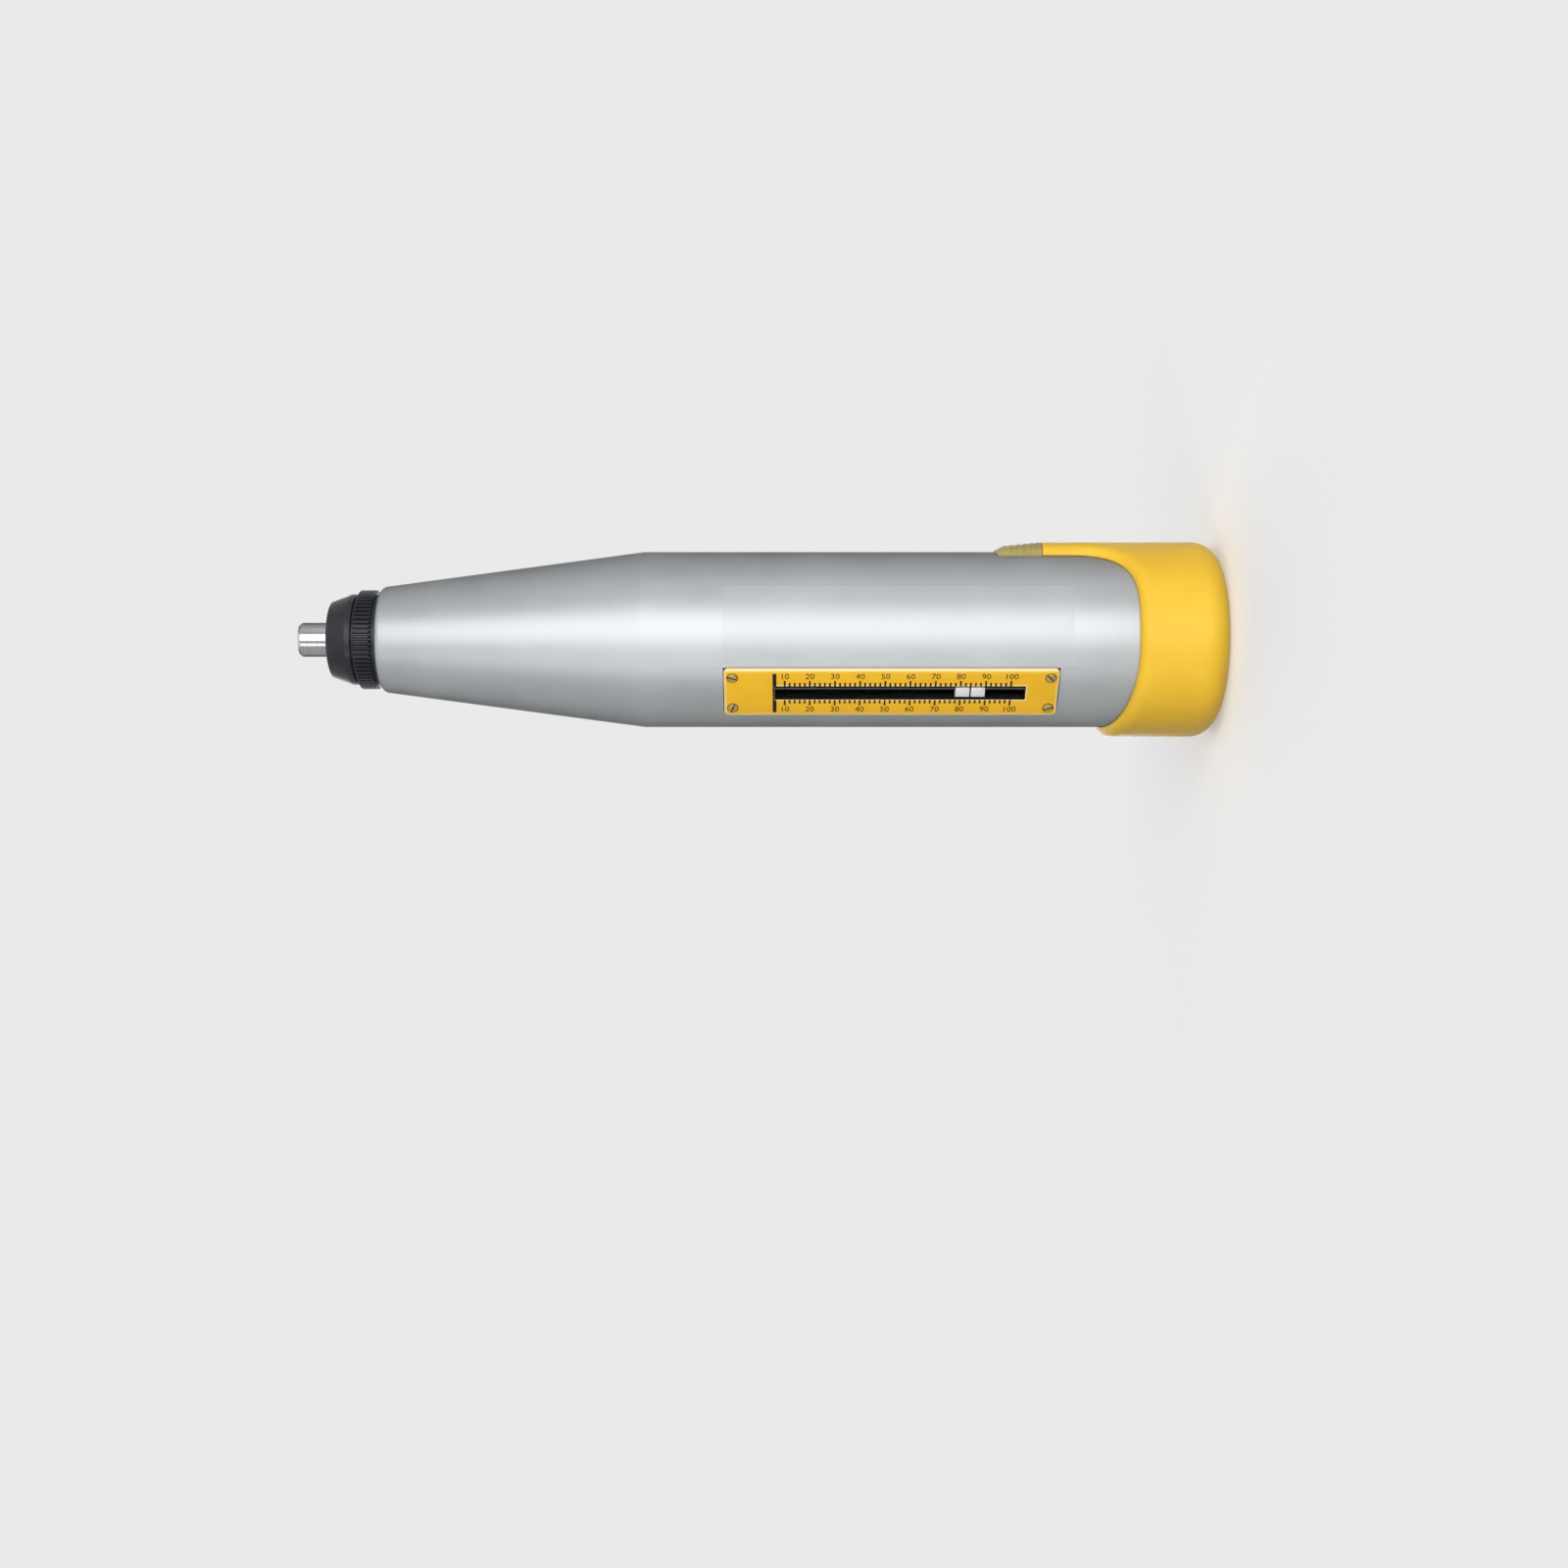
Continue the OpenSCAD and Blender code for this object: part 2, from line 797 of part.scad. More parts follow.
module cap_shell() {
    one_side = [for (i = [0 : half_last]) cap_rows(i)];
    sides = 2 * half_last;
    rows = len(one_side[0]);
    last_row = (rows - 1) * sides;
    floor_centre = rows * sides;
    rear_centre = floor_centre + 1;
    points = [
        for (k = [0 : rows - 1], i = [0 : sides - 1])
            let (
                p = i <= half_last ? one_side[i][k] : one_side[sides - i][k],
                turn = i <= half_last ? p[0] : -p[0]
            )
            [p[2] * cos(turn), p[2] * sin(turn), p[1]]
    ];
    floor_faces = [for (i = [0 : sides - 1]) [floor_centre, (i + 1) % sides, i]];
    rear_faces = [for (i = [0 : sides - 1]) [rear_centre, last_row + i, last_row + (i + 1) % sides]];
    polyhedron(
        points = concat(points, [[0, 0, cap_end], [0, 0, 0]]),
        faces = concat(floor_faces, band_faces(rows, sides), rear_faces)
    );
}

module rear_cap() {
    color("gold")
        rotate([0, 0, tongue_angle])
            cap_shell();
}

// Lock button: a ribbed pad in line with the tongue, with a heel under the tongue and a pin

function pad_side(k) =
    let (
        a = 90 * k / lip_steps,
        y = tongue_half - lip_len * (1 - cos(a)),
        r = cap_in_r + cap_wall * sin(a)
    )
    [sqrt(r * r - y * y), y];

module pad_section() {
    upper = [for (k = [0 : lip_steps]) pad_side(k)];
    lower = [for (k = [lip_steps : -1 : 0]) [pad_side(k)[0], -pad_side(k)[1]]];
    polygon(concat(
        [[pad_bottom_d, -tongue_half], [pad_bottom_d, tongue_half]],
        upper,
        [[cap_r, 0]],
        lower
    ));
}

module pad_profile() {
    polygon([
        [pad_bottom_d, 0],
        [cap_r, 0],
        [cap_r - pad_drop, pad_len - pad_ramp],
        [pad_bottom_d + pad_ramp_h, pad_len],
        [pad_bottom_d, pad_len],
    ]);
}

module pad_grooves_cut() {
    slope = pad_drop / (pad_len - pad_ramp);
    for (i = [0 : pad_grooves - 1]) {
        along = pad_groove_start + i * pad_groove_pitch;
        translate([cap_r - along * slope + pad_groove_r - pad_groove_depth, 0, pad_z + along])
            rotate([90, 0, 0])
                cylinder(r = pad_groove_r, h = tongue_w + overrun, center = true);
    }
}

module lock_button() {
    color("khaki")
        rotate([0, 0, tongue_angle]) {
            difference() {
                intersection() {
                    translate([0, 0, pad_z])
                        linear_extrude(height = pad_len)
                            pad_section();
                    translate([0, tongue_w, pad_z])
                        rotate([90, 0, 0])
                            linear_extrude(height = 2 * tongue_w)
                                pad_profile();
                }
                pad_grooves_cut();
                translate([0, 0, button_spring_z])
                    rotate([0, 90, 0])
                        rod(button_cup_r, pad_bottom_d - overrun, cap_r - button_cup_wall);
            }
            difference() {
                block([pad_bottom_d, -heel_w / 2, heel_z], [heel_top_d, heel_w / 2, pad_z]);
                translate([0, 0, lock_pin_z])
                    rotate([0, 90, 0])
                        rod(lock_pin_r, pad_bottom_d - overrun, heel_top_d + overrun);
            }
        }
}

module lock_pin() {
    color("silver")
        rotate([0, 0, tongue_angle])
            translate([0, 0, lock_pin_z])
                rotate([0, 90, 0])
                    rod(lock_pin_r, bore_r + seat_gap, heel_top_d);
}

module button_spring() {
    color("gray")
        rotate([0, 0, tongue_angle])
            translate([0, 0, button_spring_z])
                rotate([0, 90, 0])
                    coil(
                        button_mean_r,
                        button_wire,
                        pocket_d,
                        cap_r - button_cup_wall,
                        button_coils,
                        "button spring"
                    );
}

// End plug, trip screw and compression spring

module end_plug() {
    plug_r = bore_r - fixed_gap;
    flange_r = tube_r - plug_flange_inset;
    hole_r = trip_r + fixed_gap;
    recess_r = nut_r + nut_room;
    color("lightgray")
        rotate_extrude()
            polygon([
                [hole_r, nut_seat_z],
                [recess_r, nut_seat_z],
                [recess_r, plug_z],
                [flange_r, plug_z],
                [flange_r, casing_z],
                [plug_r, casing_z],
                [plug_r, plug_front_z],
                [boss_r, plug_front_z],
                [boss_r, plug_front_z + boss_len],
                [boss_r - boss_wall, plug_front_z + boss_len],
                [boss_r - boss_wall, plug_front_z],
                [hole_r, plug_front_z],
            ]);
}

module trip_screw() {
    color("gray")
        difference() {
            rod(trip_r, plug_z, trip_tip_z);
            translate([0, 0, plug_z])
                cube([2 * trip_r + overrun, trip_slot_w, 2 * trip_slot_w], center = true);
        }
}

module trip_lock_nut() {
    color("darkgray")
        difference() {
            translate([0, 0, nut_seat_z - nut_t])
                cylinder(r = nut_r, h = nut_t, $fn = 6);
            rod(trip_r + fixed_gap, plug_z - overrun, casing_z);
        }
}

module compression_spring() {
    color("dimgray")
        coil(comp_mean_r, comp_wire, plug_front_z, disk_z, comp_coils, "compression spring");
}

// Plunger, guide bar and guide disk, which travel as one

module plunger() {
    edge_z = plunger_tip_z - tip_r + sqrt(tip_r * tip_r - plunger_r * plunger_r);
    color("gainsboro")
        difference() {
            intersection() {
                rotate_extrude()
                    polygon([
                        [0, plunger_z],
                        [plunger_r, plunger_z],
                        [plunger_r, edge_z - plunger_edge],
                        [plunger_r - plunger_edge, edge_z],
                        [plunger_r - plunger_edge, plunger_tip_z],
                        [0, plunger_tip_z],
                    ]);
                translate([0, 0, plunger_tip_z - tip_r])
                    rotate_extrude()
                        union() {
                            intersection() {
                                circle(r = tip_r);
                                square(tip_r);
                            }
                            translate([0, -plunger_len])
                                square([tip_r, plunger_len]);
                        }
            }
            rod(bar_bore_r, plunger_z - overrun, plunger_z + plunger_bore_len);
        }
}

module buffer_spring() {
    color("gray")
        coil(
            buffer_mean_r,
            buffer_wire,
            buffer_z,
            buffer_z + buffer_len,
            buffer_coils,
            "buffer spring"
        );
}

module guide_bar() {
    color("lightgray")
        rod(bar_r, disk_z, buffer_z);
}

module guide_disk() {
    pawl_side = pawl_t / 2 + clear_gap;
    spring_side = pawl_side + pawl_spring_len;
    slot_half = pawl_boss_r + pawl_slot_room;
    color("darkgray")
        difference() {
            union() {
                rod(disk_r, disk_z, disk_front_z);
                rod(hub_d / 2, disk_z, hub_front_z);
            }
            rod(bar_r + fixed_gap, disk_z - overrun, hub_front_z + overrun);
            block(
                [-pawl_side, pawl_y - slot_half, disk_z - overrun],
                [spring_side, pawl_y + slot_half, hub_front_z + overrun]
            );
            block(
                [-notch_w / 2, -bore_r, disk_z - overrun],
                [notch_w / 2, -notch_r, disk_front_z + overrun]
            );
            translate([0, pawl_y, pawl_z])
                rotate([0, 90, 0])
                    rod(pawl_pin_r + fixed_gap, -pawl_pin_len / 2, bore_r);
        }
}

module pawl_pin() {
    color("silver")
        translate([0, pawl_y, pawl_z])
            rotate([0, 90, 0])
                rod(pawl_pin_r, -pawl_pin_len / 2, pawl_pin_len / 2);
}

module pawl_outline() {
    arm_in = pawl_y - pawl_arm_t / 2;
    hook_end_z = pawl_hook_z + pawl_hook_t;
    difference() {
        union() {
            translate([arm_in, pawl_tail_z])
                square([pawl_arm_t, hook_end_z - pawl_tail_z]);
            translate([-pawl_tail_over, pawl_tail_z])
                square([pawl_y + pawl_tail_over, pawl_tail_t]);
            translate([pawl_hook_y, pawl_hook_z])
                square([pawl_y - pawl_hook_y, pawl_hook_t]);
            translate([pawl_y, pawl_z])
                circle(r = pawl_boss_r);
        }
        translate([pawl_y, pawl_z])
            circle(r = pawl_pin_r + fixed_gap);
    }
}

module pawl() {
    color("slategray")
        in_axis_plane(pawl_t)
            pawl_outline();
}

module pawl_spring() {
    start = pawl_t / 2 + seat_gap;
    color("gray")
        translate([0, pawl_y, pawl_z])
            rotate([0, 90, 0])
                coil(
                    pawl_spring_mean_r,
                    pawl_spring_wire,
                    start,
                    start + pawl_spring_len - seat_gap,
                    pawl_spring_coils,
                    "pawl spring"
                );
}

module hammer_mass() {
    color("dimgray")
        rotate_extrude()
            polygon([
                [bar_bore_r, mass_z],
                [collar_d / 2, mass_z],
                [collar_d / 2, mass_neck_z],
                [neck_d / 2, mass_neck_z],
                [neck_d / 2, mass_body_z],
                [mass_r - mass_chamfer, mass_body_z],
                [mass_r, mass_body_z + mass_chamfer],
                [mass_r, mass_shoulder_z - mass_chamfer],
                [mass_r - mass_chamfer, mass_shoulder_z],
                [spring_neck_r, mass_shoulder_z],
                [spring_neck_r, mass_front_z],
                [bar_bore_r, mass_front_z],
            ]);
}

casing();
front_cap();
felt_seal();
split_ring();
guide_sleeve();
impact_spring();
scale_plate();
plate_screws();
rear_cap();
end_plug();
trip_screw();
trip_lock_nut();
compression_spring();
rider_rod();
rod_blocks();
plunger();
buffer_spring();
guide_bar();
guide_disk();
pawl_pin();
pawl();
pawl_spring();
hammer_mass();
rider();
rider_strip();
lock_button();
lock_pin();
button_spring();
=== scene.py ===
"""Looks of a concrete test hammer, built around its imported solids."""
import math

import bmesh
import bpy
from mathutils import Matrix, Vector


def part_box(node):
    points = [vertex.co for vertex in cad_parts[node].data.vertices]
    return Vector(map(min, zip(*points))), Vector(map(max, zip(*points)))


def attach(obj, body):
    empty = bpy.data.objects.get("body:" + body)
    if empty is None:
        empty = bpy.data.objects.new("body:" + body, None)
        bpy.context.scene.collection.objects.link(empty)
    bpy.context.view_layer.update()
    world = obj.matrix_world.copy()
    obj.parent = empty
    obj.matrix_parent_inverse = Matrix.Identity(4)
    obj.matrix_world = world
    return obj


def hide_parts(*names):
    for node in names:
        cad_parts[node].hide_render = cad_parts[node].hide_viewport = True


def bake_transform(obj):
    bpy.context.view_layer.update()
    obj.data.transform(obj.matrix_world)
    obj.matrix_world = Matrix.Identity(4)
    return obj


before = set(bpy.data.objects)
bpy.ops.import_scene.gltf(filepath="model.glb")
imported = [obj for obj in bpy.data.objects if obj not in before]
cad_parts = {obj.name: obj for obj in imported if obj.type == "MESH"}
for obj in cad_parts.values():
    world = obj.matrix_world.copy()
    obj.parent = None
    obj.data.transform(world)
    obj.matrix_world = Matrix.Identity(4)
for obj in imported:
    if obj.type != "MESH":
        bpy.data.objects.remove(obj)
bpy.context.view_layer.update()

MM = 0.001

# Sizes read from the frame
casing_low, casing_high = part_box("casing")
nose_low, nose_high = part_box("front_cap")
plate_low, plate_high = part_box("scale_plate")
plunger_low, plunger_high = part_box("plunger")
rider_low, rider_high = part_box("rider")
cap_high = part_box("rear_cap")[1]
rod_low, rod_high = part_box("rider_rod")

# Barrel
TUBE_R = 27 * MM
BORE_R = 23.5 * MM
SHOULDER_Z = 176 * MM
SHOULDER_ROUND = 2 * MM
NOSE_R = 16.2 * MM
NOSE_ROUND = 2 * MM
SPIGOT_R = 12.5 * MM
FRONT_BORE_R = 11 * MM
STEP_Z = 242.5 * MM
CONE_WALL = 4 * MM
TUBE_WALL = TUBE_R - BORE_R
REAR_Z = casing_low.z
NOSE_Z = nose_low.z
SPIGOT_Z = casing_high.z
CONE_SLOPE = (TUBE_R - NOSE_R) / (NOSE_Z - SHOULDER_Z)
FINE_EDGE = 0.3 * MM
ROOM = 0.2 * MM
THREAD_ROOM = 0.05 * MM
CUT_PAST = 1 * MM

# Front cap
KNURL_RIBS = 64
KNURL_STEPS = 12
KNURL_FOOT = 0.25
KNURL_FLANK = 0.45
KNURL_R = 15.3 * MM
KNURL_ROOT_R = 14.5 * MM
NECK_R = 13.8 * MM
KNURL_Z = 258.2 * MM
KNURL_END_Z = 263.7 * MM
KNURL_CHAMFER = 0.45 * MM
GROOVE_R = 13.2 * MM
BEAD_R = 14.1 * MM
BEAD_Z = 264.4 * MM
BEAD_END_Z = 266.2 * MM
BEAD_EDGE = 0.5 * MM
CAP_TIP_R = 11.9 * MM
CAP_TIP_EDGE = 0.8 * MM
FELT_BORE_R = 8.6 * MM
FELT_FRONT_Z = 270.4 * MM
SLEEVE_FRONT_Z = 267 * MM
NOSE_HOLE_R = 5.55 * MM

# Plunger
PLUNGER_R = plunger_high.x
PLUNGER_BORE_R = 3.6 * MM
PLUNGER_BORE_END_Z = plunger_low.z + 52 * MM
TIP_SPHERE_R = 25 * MM
TIP_EDGE = 0.6 * MM
TIP_STEPS = 10
PLUNGER_STEPS = 128

# Rear cap, with angles counted from the tongue
TONGUE_TURN = math.radians(30)
CAP_IN_R = 27.15 * MM
CAP_WALL = 2.85 * MM
CAP_R = CAP_IN_R + CAP_WALL
CAP_END = 3 * MM
CAP_ROUND = 8 * MM
SCOOP_Z = 27.5 * MM
LOBE_Z = 35.5 * MM
LOBE_SOFT_SHARE = 0.2
TONGUE_HALF = 6.3 * MM
FLARE_R = 18 * MM
LIP_LEN = 3.6 * MM
FAN_SHARE = 0.5

# Lock button
PAD_Z = cap_high.z + ROOM
PAD_LEN = 13.6 * MM
PAD_MIDDLE_Z = PAD_Z + PAD_LEN / 2
PAD_DROP = 1.3 * MM
PAD_RAMP = 3 * MM
PAD_RAMP_H = 0.9 * MM
PAD_BOTTOM = 26.1 * MM
PAD_SOFT = 0.25 * MM
PAD_STEPS_ALONG = 140
PAD_STEPS_ACROSS = 36
PAD_GROOVES = 5
PAD_GROOVE_PITCH = 2 * MM
PAD_GROOVE_START = 1.2 * MM
PAD_GROOVE_HALF = 0.55 * MM
PAD_GROOVE_DEPTH = 0.28 * MM
POCKET_BOTTOM = 24.3 * MM
HEEL_HALF = 4 * MM
HEEL_TOP = 26.65 * MM
HEEL_Z = 47.1 * MM
LOCK_PIN_Z = 50 * MM
LOCK_PIN_R = 1.6 * MM
BUTTON_CUP_R = 2.75 * MM
BUTTON_CUP_TOP = CAP_R - 1.6 * MM

# Scale
SLOT_HALF = 2.5 * MM
SLOT_Z = plate_low.z + 9.8 * MM
SLOT_END_Z = SLOT_Z + 75 * MM
CASING_SLOT_HALF = 3.2 * MM
CASING_SLOT_PAST = 4.05 * MM
PLATE_FACE = -plate_low.y
PLATE_SEAT = -plate_high.y
PLATE_EDGE = 0.5 * MM
PLATE_EDGE_STEPS = 2
SLOT_EDGE = 0.06 * MM
# Widths of the painted highlight round the slot and along the plate's rim
SLOT_HIGHLIGHT_BORDER = 0.45 * MM
SLOT_HIGHLIGHT_SOFT = 0.15 * MM
PLATE_HIGHLIGHT_BORDER = 1 * MM
PLATE_CORNER_R = 1.5 * MM
UNIT = 0.75 * MM
UNITS = 100
FIRST_UNIT = 10
TICK_EVERY = 2
NUMBER_EVERY = 10
FULL_Z = 65.3 * MM
INK = 0.03 * MM
TICK_W = 0.55 * MM
TICK_LEN = 1.3 * MM
TICK_LONG = 2 * MM
NUMBER_H = 2 * MM
FONT_PER_HEIGHT = 1.4
FONT_STEPS = 3
NUMBER_X = 6.1 * MM
END_BAR_W = 1.15 * MM
END_BAR_PAST = 0.55 * MM
END_BAR_HALF = 7.2 * MM
SCREW_X = 5.6 * MM
SCREW_INSET_Z = 2.6 * MM
SCREW_HEAD_R = 1.5 * MM
SCREW_HEAD_T = 0.4 * MM
SCREW_HEAD_EDGE = 0.24 * MM
# Radius of the dark disc under each head, a painted shadow round the screw
SCREW_SHADOW_R = 1.7 * MM
SCREW_SHANK_R = 0.8 * MM
SCREW_LEN = 3 * MM
SCREW_SLOT_W = 0.4 * MM
SCREW_TURNS = (15, 70, 130, 160)
RIDER_FACE_HALF = 1.6 * MM
RIDER_BODY_TOP = 25.5 * MM
RIDER_LINE = 0.4 * MM
RIDER_EDGE = 0.2 * MM
ROD_ROOM = 0.1 * MM

# Clear film over the tube beside the scale
FILM_LOW_Z = 47 * MM
FILM_HIGH_Z = 151 * MM
FILM_START = math.radians(-18.5)
FILM_END = math.radians(-70.5)
FILM_LIFT = 0.03 * MM
FILM_T = 0.08 * MM
FILM_STEPS_AROUND = 48
FILM_STEPS_ALONG = 12
FILM_RIM_DOT = 0.5

# Springs, each as (coil radius, wire, turns)
IMPACT_COIL = (10 * MM, 2 * MM, 25)
COMPRESSION_COIL = (17.4 * MM, 2 * MM, 9)
BUFFER_COIL = (2.5 * MM, 1 * MM, 6)
PAWL_COIL = (1.7 * MM, 0.5 * MM, 3)
BUTTON_COIL = (2.2 * MM, 0.5 * MM, 3)

# Steps of round shapes
LATHE_STEPS = 192
HOLE_STEPS = 48
SCREW_STEPS = 40
ROD_HOLE_STEPS = 32
CORNER_STEPS = 6
COIL_STEPS = 24
WIRE_STEPS = 10
BEVEL_STEPS = 3

# Angles in degrees from which an edge is shaded as sharp
SHARP = 38
FINE_SHARP = 30
PLUNGER_SHARP = 35
CAP_SHARP = 40
CURVE_SHARP = 40
PAD_SHARP = 45
COARSE_SHARP = 50

# Clean-up of meshes
WELD = 0.0001 * MM
FLAT = math.radians(0.05)
DEGENERATE_PASSES = 3
BEVEL_ANGLE = 0.6
ROUND_PROFILE = 0.5

# Turns and corners used by several pieces
QUARTER = math.pi / 2
Z_TO_X = Matrix.Rotation(QUARTER, 4, "Y")
TO_TONGUE = Matrix.Rotation(TONGUE_TURN, 4, "Z")
CORNERS = ((-1, -1), (1, -1), (1, 1), (-1, 1))


# Mesh helpers

def rounded(corners, steps=CORNER_STEPS):
    """Closed outline from (x, y, radius) corners, each radius turned into an arc."""
    outline = []
    for i, (x, y, radius) in enumerate(corners):
        here = Vector((x, y))
        if not radius:
            outline.append(here)
            continue
        before = (Vector(corners[i - 1][:2]) - here).normalized()
        after = (Vector(corners[(i + 1) % len(corners)][:2]) - here).normalized()
        half = before.angle(after) / 2
        centre = here + (before + after).normalized() * radius / math.sin(half)
        start = here + before * radius / math.tan(half) - centre
        end = here + after * radius / math.tan(half) - centre
        first = math.atan2(start.y, start.x)
        sweep = math.atan2(end.y, end.x) - first
        sweep = (sweep + math.pi) % math.tau - math.pi
        for k in range(steps + 1):
            angle = first + sweep * k / steps
            outline.append(centre + radius * Vector((math.cos(angle), math.sin(angle))))
    return outline


def lathe(outline, segments=LATHE_STEPS, radius=None):
    """Vertices and faces of a closed (r, z) outline turned about Z.

    A radius(r, angle) may reshape it.
    """
    verts, faces = [], []
    count = len(outline)
    for s in range(segments):
        angle = math.tau * s / segments
        for r, z in outline:
            r = radius(r, angle) if radius else r
            verts.append((r * math.cos(angle), r * math.sin(angle), z))
    for j in range(count):
        k = (j + 1) % count
        (r0, z0), (r1, z1) = outline[j], outline[k]
        if abs(z0 - z1) < WELD and min(r0, r1) == 0:
            ring = j if r0 else k
            faces.append(tuple(s * count + ring for s in range(segments)))
            continue
        for s in range(segments):
            here, there = s * count, (s + 1) % segments * count
            faces.append((here + j, there + j, there + k, here + k))
    return verts, faces


def cylinder(radius, low, high, segments):
    """Vertices and faces of a round bar along Z."""
    return lathe([(0, low), (radius, low), (radius, high), (0, high)], segments)


def box(low, high):
    """Vertices and faces of a box between two corners."""
    verts = [(x, y, z) for x in (low[0], high[0]) for y in (low[1], high[1])
             for z in (low[2], high[2])]
    faces = [(0, 1, 3, 2), (4, 6, 7, 5), (0, 4, 5, 1), (2, 3, 7, 6), (0, 2, 6, 4), (1, 5, 7, 3)]
    return verts, faces


def prism(outline, low, high):
    """Vertices and faces of a closed (x, y) outline drawn out along Z."""
    count = len(outline)
    verts = [(x, y, z) for z in (low, high) for x, y in outline]
    faces = [(i, (i + 1) % count, count + (i + 1) % count, count + i) for i in range(count)]
    faces += [tuple(reversed(range(count))), tuple(range(count, 2 * count))]
    return verts, faces


def mirrored(side):
    """Closed outline from its half with y above zero."""
    return [(x, -y) for x, y in side] + side[::-1]


def grid(long_steps, wide_steps):
    """Faces of a grid of vertices in rows, and the vertices round its rim."""
    row = wide_steps + 1
    faces = []
    for i in range(long_steps):
        for a in range(i * row, i * row + wide_steps):
            faces.append((a, a + 1, a + 1 + row, a + row))
    rim = list(range(row))
    rim += [i * row + wide_steps for i in range(1, long_steps + 1)]
    rim += [long_steps * row + j for j in range(wide_steps - 1, -1, -1)]
    rim += [i * row for i in range(long_steps - 1, 0, -1)]
    return faces, rim


def joined(*parts):
    """Several (vertices, faces) as one."""
    verts, faces = [], []
    for part_verts, part_faces in parts:
        start = len(verts)
        verts += list(part_verts)
        faces += [tuple(i + start for i in f) for f in part_faces]
    return verts, faces


def moved(part, matrix):
    """A (vertices, faces) under a matrix."""
    return [matrix @ Vector(v) for v in part[0]], part[1]


def make_mesh(name, part, materials, sharp=SHARP, bevel=0):
    """A clean, smooth mesh with its sharp edges kept, or rounded if a bevel is given."""
    mesh = bpy.data.meshes.new(name)
    mesh.from_pydata([tuple(v) for v in part[0]], [], part[1])
    work = bmesh.new()
    work.from_mesh(mesh)
    bmesh.ops.remove_doubles(work, verts=work.verts, dist=WELD)
    bmesh.ops.delete(work, geom=[v for v in work.verts if not v.link_faces], context="VERTS")
    bmesh.ops.recalc_face_normals(work, faces=work.faces)
    if bevel:
        edges = [e for e in work.edges
                 if len(e.link_faces) == 2 and e.calc_face_angle() > BEVEL_ANGLE]
        bmesh.ops.bevel(work, geom=edges, offset=bevel, segments=BEVEL_STEPS,
                        profile=ROUND_PROFILE, affect="EDGES")
    work.to_mesh(mesh)
    work.free()
    for material in materials:
        mesh.materials.append(material)
    mesh.shade_smooth()
    mesh.set_sharp_from_angle(angle=math.radians(sharp))
    return mesh


def add_piece(name, mesh, body, replaces=()):
    """An object that rides on a body and may stand for CAD nodes."""
    piece = bpy.data.objects.new(name, mesh)
    bpy.context.scene.collection.objects.link(piece)
    if body:
        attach(piece, body)
    if replaces:
        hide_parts(*replaces)
    return piece


def cut(mesh, cutter, sharp=SHARP, operation="DIFFERENCE"):
    """The mesh with another taken out or added; the other's faces keep their material."""
    body = bpy.data.objects.new("cut_body", mesh)
    tool = bpy.data.objects.new("cut_tool", cutter)
    for item in (body, tool):
        bpy.context.scene.collection.objects.link(item)
    change = body.modifiers.new("cut", "BOOLEAN")
    change.object = tool
    change.operation = operation
    change.solver = "EXACT"
    change.material_mode = "TRANSFER"
    bpy.context.view_layer.update()
    graph = bpy.context.evaluated_depsgraph_get()
    result = bpy.data.meshes.new_from_object(body.evaluated_get(graph))
    result.name = mesh.name
    for item in (body, tool):
        bpy.data.objects.remove(item)
    result.shade_smooth()
    result.set_sharp_from_angle(angle=math.radians(sharp))
    return result


def helix(coil, start, end):
    """A coil of (radius, wire, turns) along Z as one tube with closed ends."""
    radius, wire, turns = coil
    verts, faces = [], []
    last = turns * COIL_STEPS
    length = end - start - wire
    for i in range(last + 1):
        angle = math.tau * i / COIL_STEPS
        out = Vector((math.cos(angle), math.sin(angle), 0))
        centre = out * radius + Vector((0, 0, start + wire / 2 + length * i / last))
        for j in range(WIRE_STEPS):
            turn = math.tau * j / WIRE_STEPS
            rim = out * math.cos(turn) + Vector((0, 0, math.sin(turn)))
            verts.append(centre + wire / 2 * rim)
        if i < last:
            for j in range(WIRE_STEPS):
                a, b = i * WIRE_STEPS + j, i * WIRE_STEPS + (j + 1) % WIRE_STEPS
                faces.append((a, b, b + WIRE_STEPS, a + WIRE_STEPS))
    faces.append(tuple(range(WIRE_STEPS)))
    faces.append(tuple(last * WIRE_STEPS + j for j in range(WIRE_STEPS)))
    return verts, faces


# Materials

# Places of a Mix node's colour sockets
MIX_FIRST, MIX_SECOND, MIX_RESULT = 6, 7, 2

# Span of a noise that is spread over a material's whole range
NOISE_SPAN = (0.3, 0.7)
FINE_DETAIL = 2.0

# Stretches of a noise along turned and drawn metal
TURNED = (1, 1, 12)
DRAWN = (0.02, 0.02, 1)

# Tint that keeps metal dark where it is seen at a flat angle
DARK_EDGE = (0.06, 0.06, 0.06)

# Scale plate: the normal's Y from its face to its rim, where a painted highlight is laid, and its
# colours, the palest being that painted highlight
RIM_HIGHLIGHT_NORMAL = (-0.97, -0.75)
PLATE_BASE = (0.80, 0.43, 0.025)
PLATE_DARK = (0.92, 0.50, 0.018)
PLATE_LIGHT = (0.97, 0.55, 0.024)
PLATE_HIGHLIGHT = (0.93, 0.76, 0.36)
PLATE_ROUGH = (0.28, 0.4)


def start_material(name, colour, roughness, metallic=0.0, **sockets):
    """A material with a Principled shader whose plain values sit on its own sockets."""
    material = bpy.data.materials.new(name)
    material.use_nodes = True
    shader = material.node_tree.nodes["Principled BSDF"]
    shader.inputs["Base Color"].default_value = (*colour, 1)
    shader.inputs["Roughness"].default_value = roughness
    shader.inputs["Metallic"].default_value = metallic
    for socket, value in sockets.items():
        if isinstance(value, tuple):
            value = (*value, 1)
        shader.inputs[socket.replace("_", " ")].default_value = value
    return material, material.node_tree, shader


